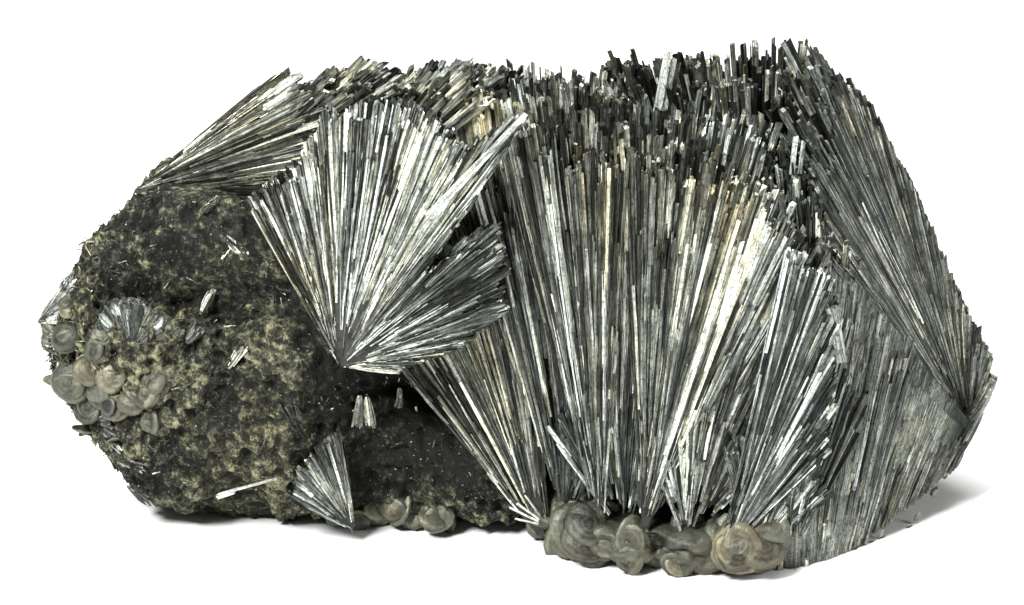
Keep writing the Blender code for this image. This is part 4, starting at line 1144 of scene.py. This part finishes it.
def sliver_batch(points, normals, rng, count, length, width, bright):
    """Small prisms that lie about on a surface, each leaning out of it by up to a third of its length."""
    pick = rng.integers(0, len(points), count)
    base, normal = points[pick], normals[pick]
    way = rng.normal(0, 1, (count, 3)) + (0.2, 0, 0.4)
    way = unit(way - normal * (way * normal).sum(axis=1, keepdims=True) * 0.8)
    wide = unit(np.cross(way, normal))
    thick = np.cross(wide, way)
    size = rng.uniform(*length, (count, 1))
    middle = (base - normal * 0.1)[:, None] + (way * size)[:, None] * np.linspace(-0.4, 0.6, RINGS)[:, None]
    half_width = rng.uniform(*width, (count, 1)) / 2 * np.linspace(1.0, 0.7, RINGS)
    # A few slivers are painted brighter as glints
    tone = np.clip(rng.normal(bright, 0.16, count) + 0.4 * (rng.uniform(0, 1, count) < 0.04), 0, 1)
    look = np.stack([tone, rng.uniform(0.3, 0.7, count), rng.uniform(0.3, 0.8, count)], axis=1)
    return (middle, wide, thick, half_width, half_width * 0.6, rng.normal(0, 0.4, (count, 2)),
            np.repeat(look[:, None], RINGS, axis=1))


def build_rock(rock_look, crust_look, blade_look):
    """The rock with its slivers, its little sprays and the round shells of its left end."""
    scattered_shells = 16
    rng = np.random.default_rng(SEED + 1)
    points, way, quads, look = rock_surface(rng)
    piece = add_piece("rock_surface", points, quads, rock_look, look, smooth=True)
    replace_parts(piece, "dark_rock")

    slivers = [sliver_batch(points, way, rng, 1950, (0.4, 1.5), (0.08, 0.22), 0.3)]
    slivers.append(sliver_batch(points, way, rng, 320, (1.4, 3.0), (0.08, 0.16), 0.5))
    laid = [laid_spray(points, *places) for places in LAID_SPRAYS]
    coats = [Coat("near", 60, (0.0, 0.6), (0.35, 0.6), (0.7, 1.08), (0.1, 0.3), 5, 0.4)]
    slivers += [coat_batch(spray, coat, rng) for spray in laid for coat in coats]
    prism_piece("rock_slivers", slivers, blade_look, "dark_rock", rng)

    spots = [(x, front_depth(points, x, z) + 0.5, z) for x, z, _ in ROCK_SHELLS]
    sizes = [radius for _, _, radius in ROCK_SHELLS]
    x, y, z = points.T
    near = (x < -36) & (y < 4) & (z < 25) & (z > 8) & (way[:, 1] < 0.2)
    scattered = rng.choice(np.flatnonzero(near), scattered_shells, replace=False)
    spots = np.vstack([spots, points[scattered]])
    normals = np.vstack([np.tile((-0.15, -0.9, 0.35), (len(sizes), 1)), way[scattered]])
    sizes = np.append(sizes, rng.uniform(0.8, 1.5, len(scattered)))
    shell_piece("left_shells", spots, unit(normals), sizes, crust_look, "dark_rock", rng)


def build_crust(crust_look):
    """The crust at the base, with the shells on its front, which keep clear of its hole and stay below
    the crystals' roots and left of the worn end."""
    shell_count, shells_end, shells_top = 70, 26, 5.4
    rng = np.random.default_rng(SEED + 2)
    points, way, quads, look = crust_surface(rng)
    piece = add_piece("knobby_crust", points, quads, crust_look, look, smooth=True)
    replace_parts(piece, "crystal_mass")
    place, radius = CRUST_HOLE
    clear = np.linalg.norm(points - np.array(place), axis=1) > 1.6 * radius
    front = (points[:, 0] < shells_end) & (way[:, 1] < -0.35) & (points[:, 2] < shells_top) & clear
    edge = rng.choice(np.flatnonzero(front), shell_count, replace=False)
    shell_piece("base_shells", points[edge] - way[edge] * 0.9, unit(way[edge] + (0, -0.3, 0.5)),
                rng.uniform(1.3, 2.9, len(edge)), crust_look, "crystal_mass", rng)


def build_mass(blade_look, core_painted_shade):
    """The blades of the whole mass over their cores, which are painted dark as shade."""
    fill = lofted_grid(FILL_STATIONS, (40, 40), 3.0)
    cores("mass_core", MASS_SPRAYS.values(), "crystal_mass", core_painted_shade, inset=1.2, reach=0.8,
          extra=[(fill[0], fill[2])])
    rng = np.random.default_rng(SEED + 30)
    worn = (MASS_SPRAYS["right_foot_spray"], FILL_SPRAYS[WORN_END])
    plates = [worn_plate(spray, 0.1, rng) for spray in worn]
    points, quads = merged([plate[:2] for plate in plates])
    looks, fibre = (np.vstack([plate[part] for plate in plates]) for part in (2, 3))
    piece = add_piece("worn_plates", points, quads, blade_look, looks,
                      (("fibre", fibre),), smooth=True)
    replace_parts(piece, "crystal_mass")
    for number, (name, members) in enumerate(GROUPS.items()):
        rng = np.random.default_rng(SEED + 40 + number)
        batches = [batch for member in members for batch in covered(MASS_SPRAYS[member], COVERS[member], rng)]
        if name in FILLED:
            coats = [Coat("near", 260, (-0.1, 1.2), (0.1, 0.65), (0.7, 0.99), (0.16, 0.5), 9, 0.5),
                     Coat("tips", 120, (0, 0), (0.5, 0.7), (0.86, 1.0), (0.2, 0.6), 6, 0.8)]
            batches += [coat_batch(FILL_SPRAYS[place], coat, rng) for place in FILLED[name] for coat in coats]
        if name == "mass_blades_right":
            coat = Coat("near", 150, (0.1, 0.4), (0.5, 0.8), (0.8, 0.99), (0.2, 0.7), 20, 0.1)
            batches.append(coat_batch(FILL_SPRAYS[WORN_END], coat, rng))
        if name == "mass_blades_back":
            coat = Coat("tips", 300, (0, 0), (0.65, 0.78), (0.91, 1.03), (0.2, 0.65), 5, 1.0)
            batches += [coat_batch(FILL_SPRAYS[place], coat, rng) for place in LEANING]
            coat = Coat("far", 140, (-0.2, 0.6), (0.0, 0.5), (0.8, 1.0), (0.4, 1.0), 9, 0.4)
            batches += [coat_batch(FILL_SPRAYS[place], coat, rng) for place in BEHIND]
        if name == "mass_blades_middle":
            batches.append(lone_batch(LONE_CRYSTALS, rng))
        prism_piece(name, batches, blade_look, "crystal_mass", rng)


def build_fans(blade_look, core_painted_shade):
    """The front fan, the upper left fan and the small sprays, each over its core."""
    rng = np.random.default_rng(SEED + 60)
    coats = [
        Coat("near", 1750, (-0.1, 0.7), (0.02, 0.75), (0.9, 1.02), (0.12, 0.36), 40, 0.7),
        Coat("near", 800, (-0.4, 0.1), (0.02, 0.5), (0.3, 0.98), (0.11, 0.3), 40, 0.7),
        Coat("far", 250, (-0.1, 0.6), (0.2, 0.7), (0.9, 1.0), (0.3, 0.9), 30, 0.5),
        Coat("tips", 480, (0, 0), (0.75, 0.87), (0.9, 1.02), (0.15, 0.45), 40, 1.0),
        Coat("start", 160, (0, 0.5), (0.0, 0.3), (0.9, 1.0), (0.2, 0.5), 3, 0.5),
        Coat("end", 160, (0, 0.5), (0.0, 0.3), (0.9, 1.0), (0.2, 0.5), 3, 0.5),
    ]
    batches = [coat_batch(FRONT_FAN, coat, rng) for coat in coats]
    prism_piece("front_fan_blades", batches, blade_look, "front_fan", rng)
    cores("front_fan_core", [FRONT_FAN], "front_fan", core_painted_shade, inset=0.5, reach=0.93)

    coats = [
        Coat("near", 800, (-0.1, 0.7), (0.02, 0.72), (0.86, 1.02), (0.14, 0.4), 14, 0.6),
        Coat("near", 340, (-0.4, 0.1), (0.02, 0.5), (0.3, 0.98), (0.12, 0.32), 14, 0.6),
        Coat("far", 260, (-0.1, 0.6), (0.2, 0.7), (0.9, 1.0), (0.4, 0.9), 12, 0.5),
        Coat("tips", 420, (0, 0), (0.72, 0.82), (0.86, 1.02), (0.3, 0.8), 12, 1.0),
        Coat("start", 200, (0, 0.5), (0.0, 0.5), (0.8, 1.0), (0.3, 0.7), 6, 0.5),
        Coat("end", 400, (-0.3, 0.6), (0.0, 0.6), (0.6, 1.0), (0.25, 0.7), 9, 0.8),
    ]
    batches = [coat_batch(UPPER_LEFT_FAN, coat, rng) for coat in coats]
    prism_piece("upper_left_fan_blades", batches, blade_look, "upper_left_fan", rng)
    cores("upper_left_fan_core", [UPPER_LEFT_FAN], "upper_left_fan", core_painted_shade, inset=0.6, reach=0.9)

    coats = [
        Coat("near", 200, (0.0, 0.3), (0.0, 0.5), (0.85, 1.03), (0.14, 0.4), 8, 0.15),
        Coat("tips", 110, (0, 0), (0.6, 0.75), (0.85, 1.03), (0.2, 0.6), 8, 0.8),
        Coat("far", 50, (0, 0.4), (0.0, 0.5), (0.85, 1.0), (0.2, 0.5), 5, 0.4),
        Coat("start", 40, (0, 0.3), (0.0, 0.4), (0.85, 1.0), (0.2, 0.4), 3, 0.4),
        Coat("end", 40, (0, 0.3), (0.0, 0.4), (0.85, 1.0), (0.2, 0.4), 3, 0.4),
    ]
    for name, spray in SMALL_SPRAYS.items():
        batches = [coat_batch(spray, coat, rng) for coat in coats]
        prism_piece(f"{name}_blades", batches, blade_look, name, rng)
        cores(f"{name}_core", [spray], name, core_painted_shade, inset=0.4, reach=0.9)


# Floor, light and camera

def area_light(name, place, target, size, power, colour=(1, 1, 1)):
    """A square softbox that looks at a point, both in millimetres."""
    light = bpy.data.lights.new(name, "AREA")
    light.shape = "RECTANGLE"
    light.size, light.size_y = size[0] * MM, size[1] * MM
    light.energy = power
    light.color = colour
    obj = bpy.data.objects.new(name, light)
    obj.location = Vector(place) * MM
    obj.rotation_euler = (Vector(target) - Vector(place)).to_track_quat("-Z", "Y").to_euler()
    bpy.context.scene.collection.objects.link(obj)


def build_stage():
    """A pale floor that fades into a pale background, and soft light from above, left and right."""
    mesh = bpy.data.meshes.new("floor")
    reach = 3.0
    mesh.from_pydata([(-reach, -reach, 0), (reach, -reach, 0), (reach, reach, 0), (-reach, reach, 0)], [],
                     [(0, 1, 2, 3)])
    nodes = Nodes("pale_floor", roughness=0.9)
    nodes.shader.inputs["Base Color"].default_value = (0.9, 0.9, 0.89, 1)
    mesh.materials.append(nodes.material)
    floor = bpy.data.objects.new("floor", mesh)
    bpy.context.scene.collection.objects.link(floor)

    world = bpy.data.worlds.new("studio")
    bpy.context.scene.world = world
    world.use_nodes = True
    world.node_tree.nodes["Background"].inputs["Color"].default_value = (1, 1, 1, 1)
    world.node_tree.nodes["Background"].inputs["Strength"].default_value = 0.11

    area_light("key", (-260, -330, 420), (0, 0, 20), (150, 150), 6.2)
    area_light("top", (60, 60, 480), (0, 0, 20), (300, 220), 2.6)
    area_light("right", (420, -160, 220), (0, 0, 20), (140, 220), 0.9)


def build_camera():
    """The camera at the photograph's viewpoint, with no depth of field."""
    data = bpy.data.cameras.new("camera")
    data.lens = CAMERA_LENS
    camera = bpy.data.objects.new("camera", data)
    bpy.context.scene.collection.objects.link(camera)
    target = Vector(CAMERA_TARGET) * MM
    towards = Vector((0, np.cos(CAMERA_RAISED), -np.sin(CAMERA_RAISED)))
    camera.location = target - towards * CAMERA_DISTANCE * MM
    camera.rotation_euler = towards.to_track_quat("-Z", "Y").to_euler()
    bpy.context.scene.camera = camera


blade_look = blade_material()
crust_look = crust_material()
core_painted_shade = core_material()
build_rock(rock_material(), crust_look, blade_look)
build_crust(crust_look)
build_mass(blade_look, core_painted_shade)
build_fans(blade_look, core_painted_shade)
build_stage()
build_camera()
bpy.context.scene.view_settings.view_transform = "Standard"
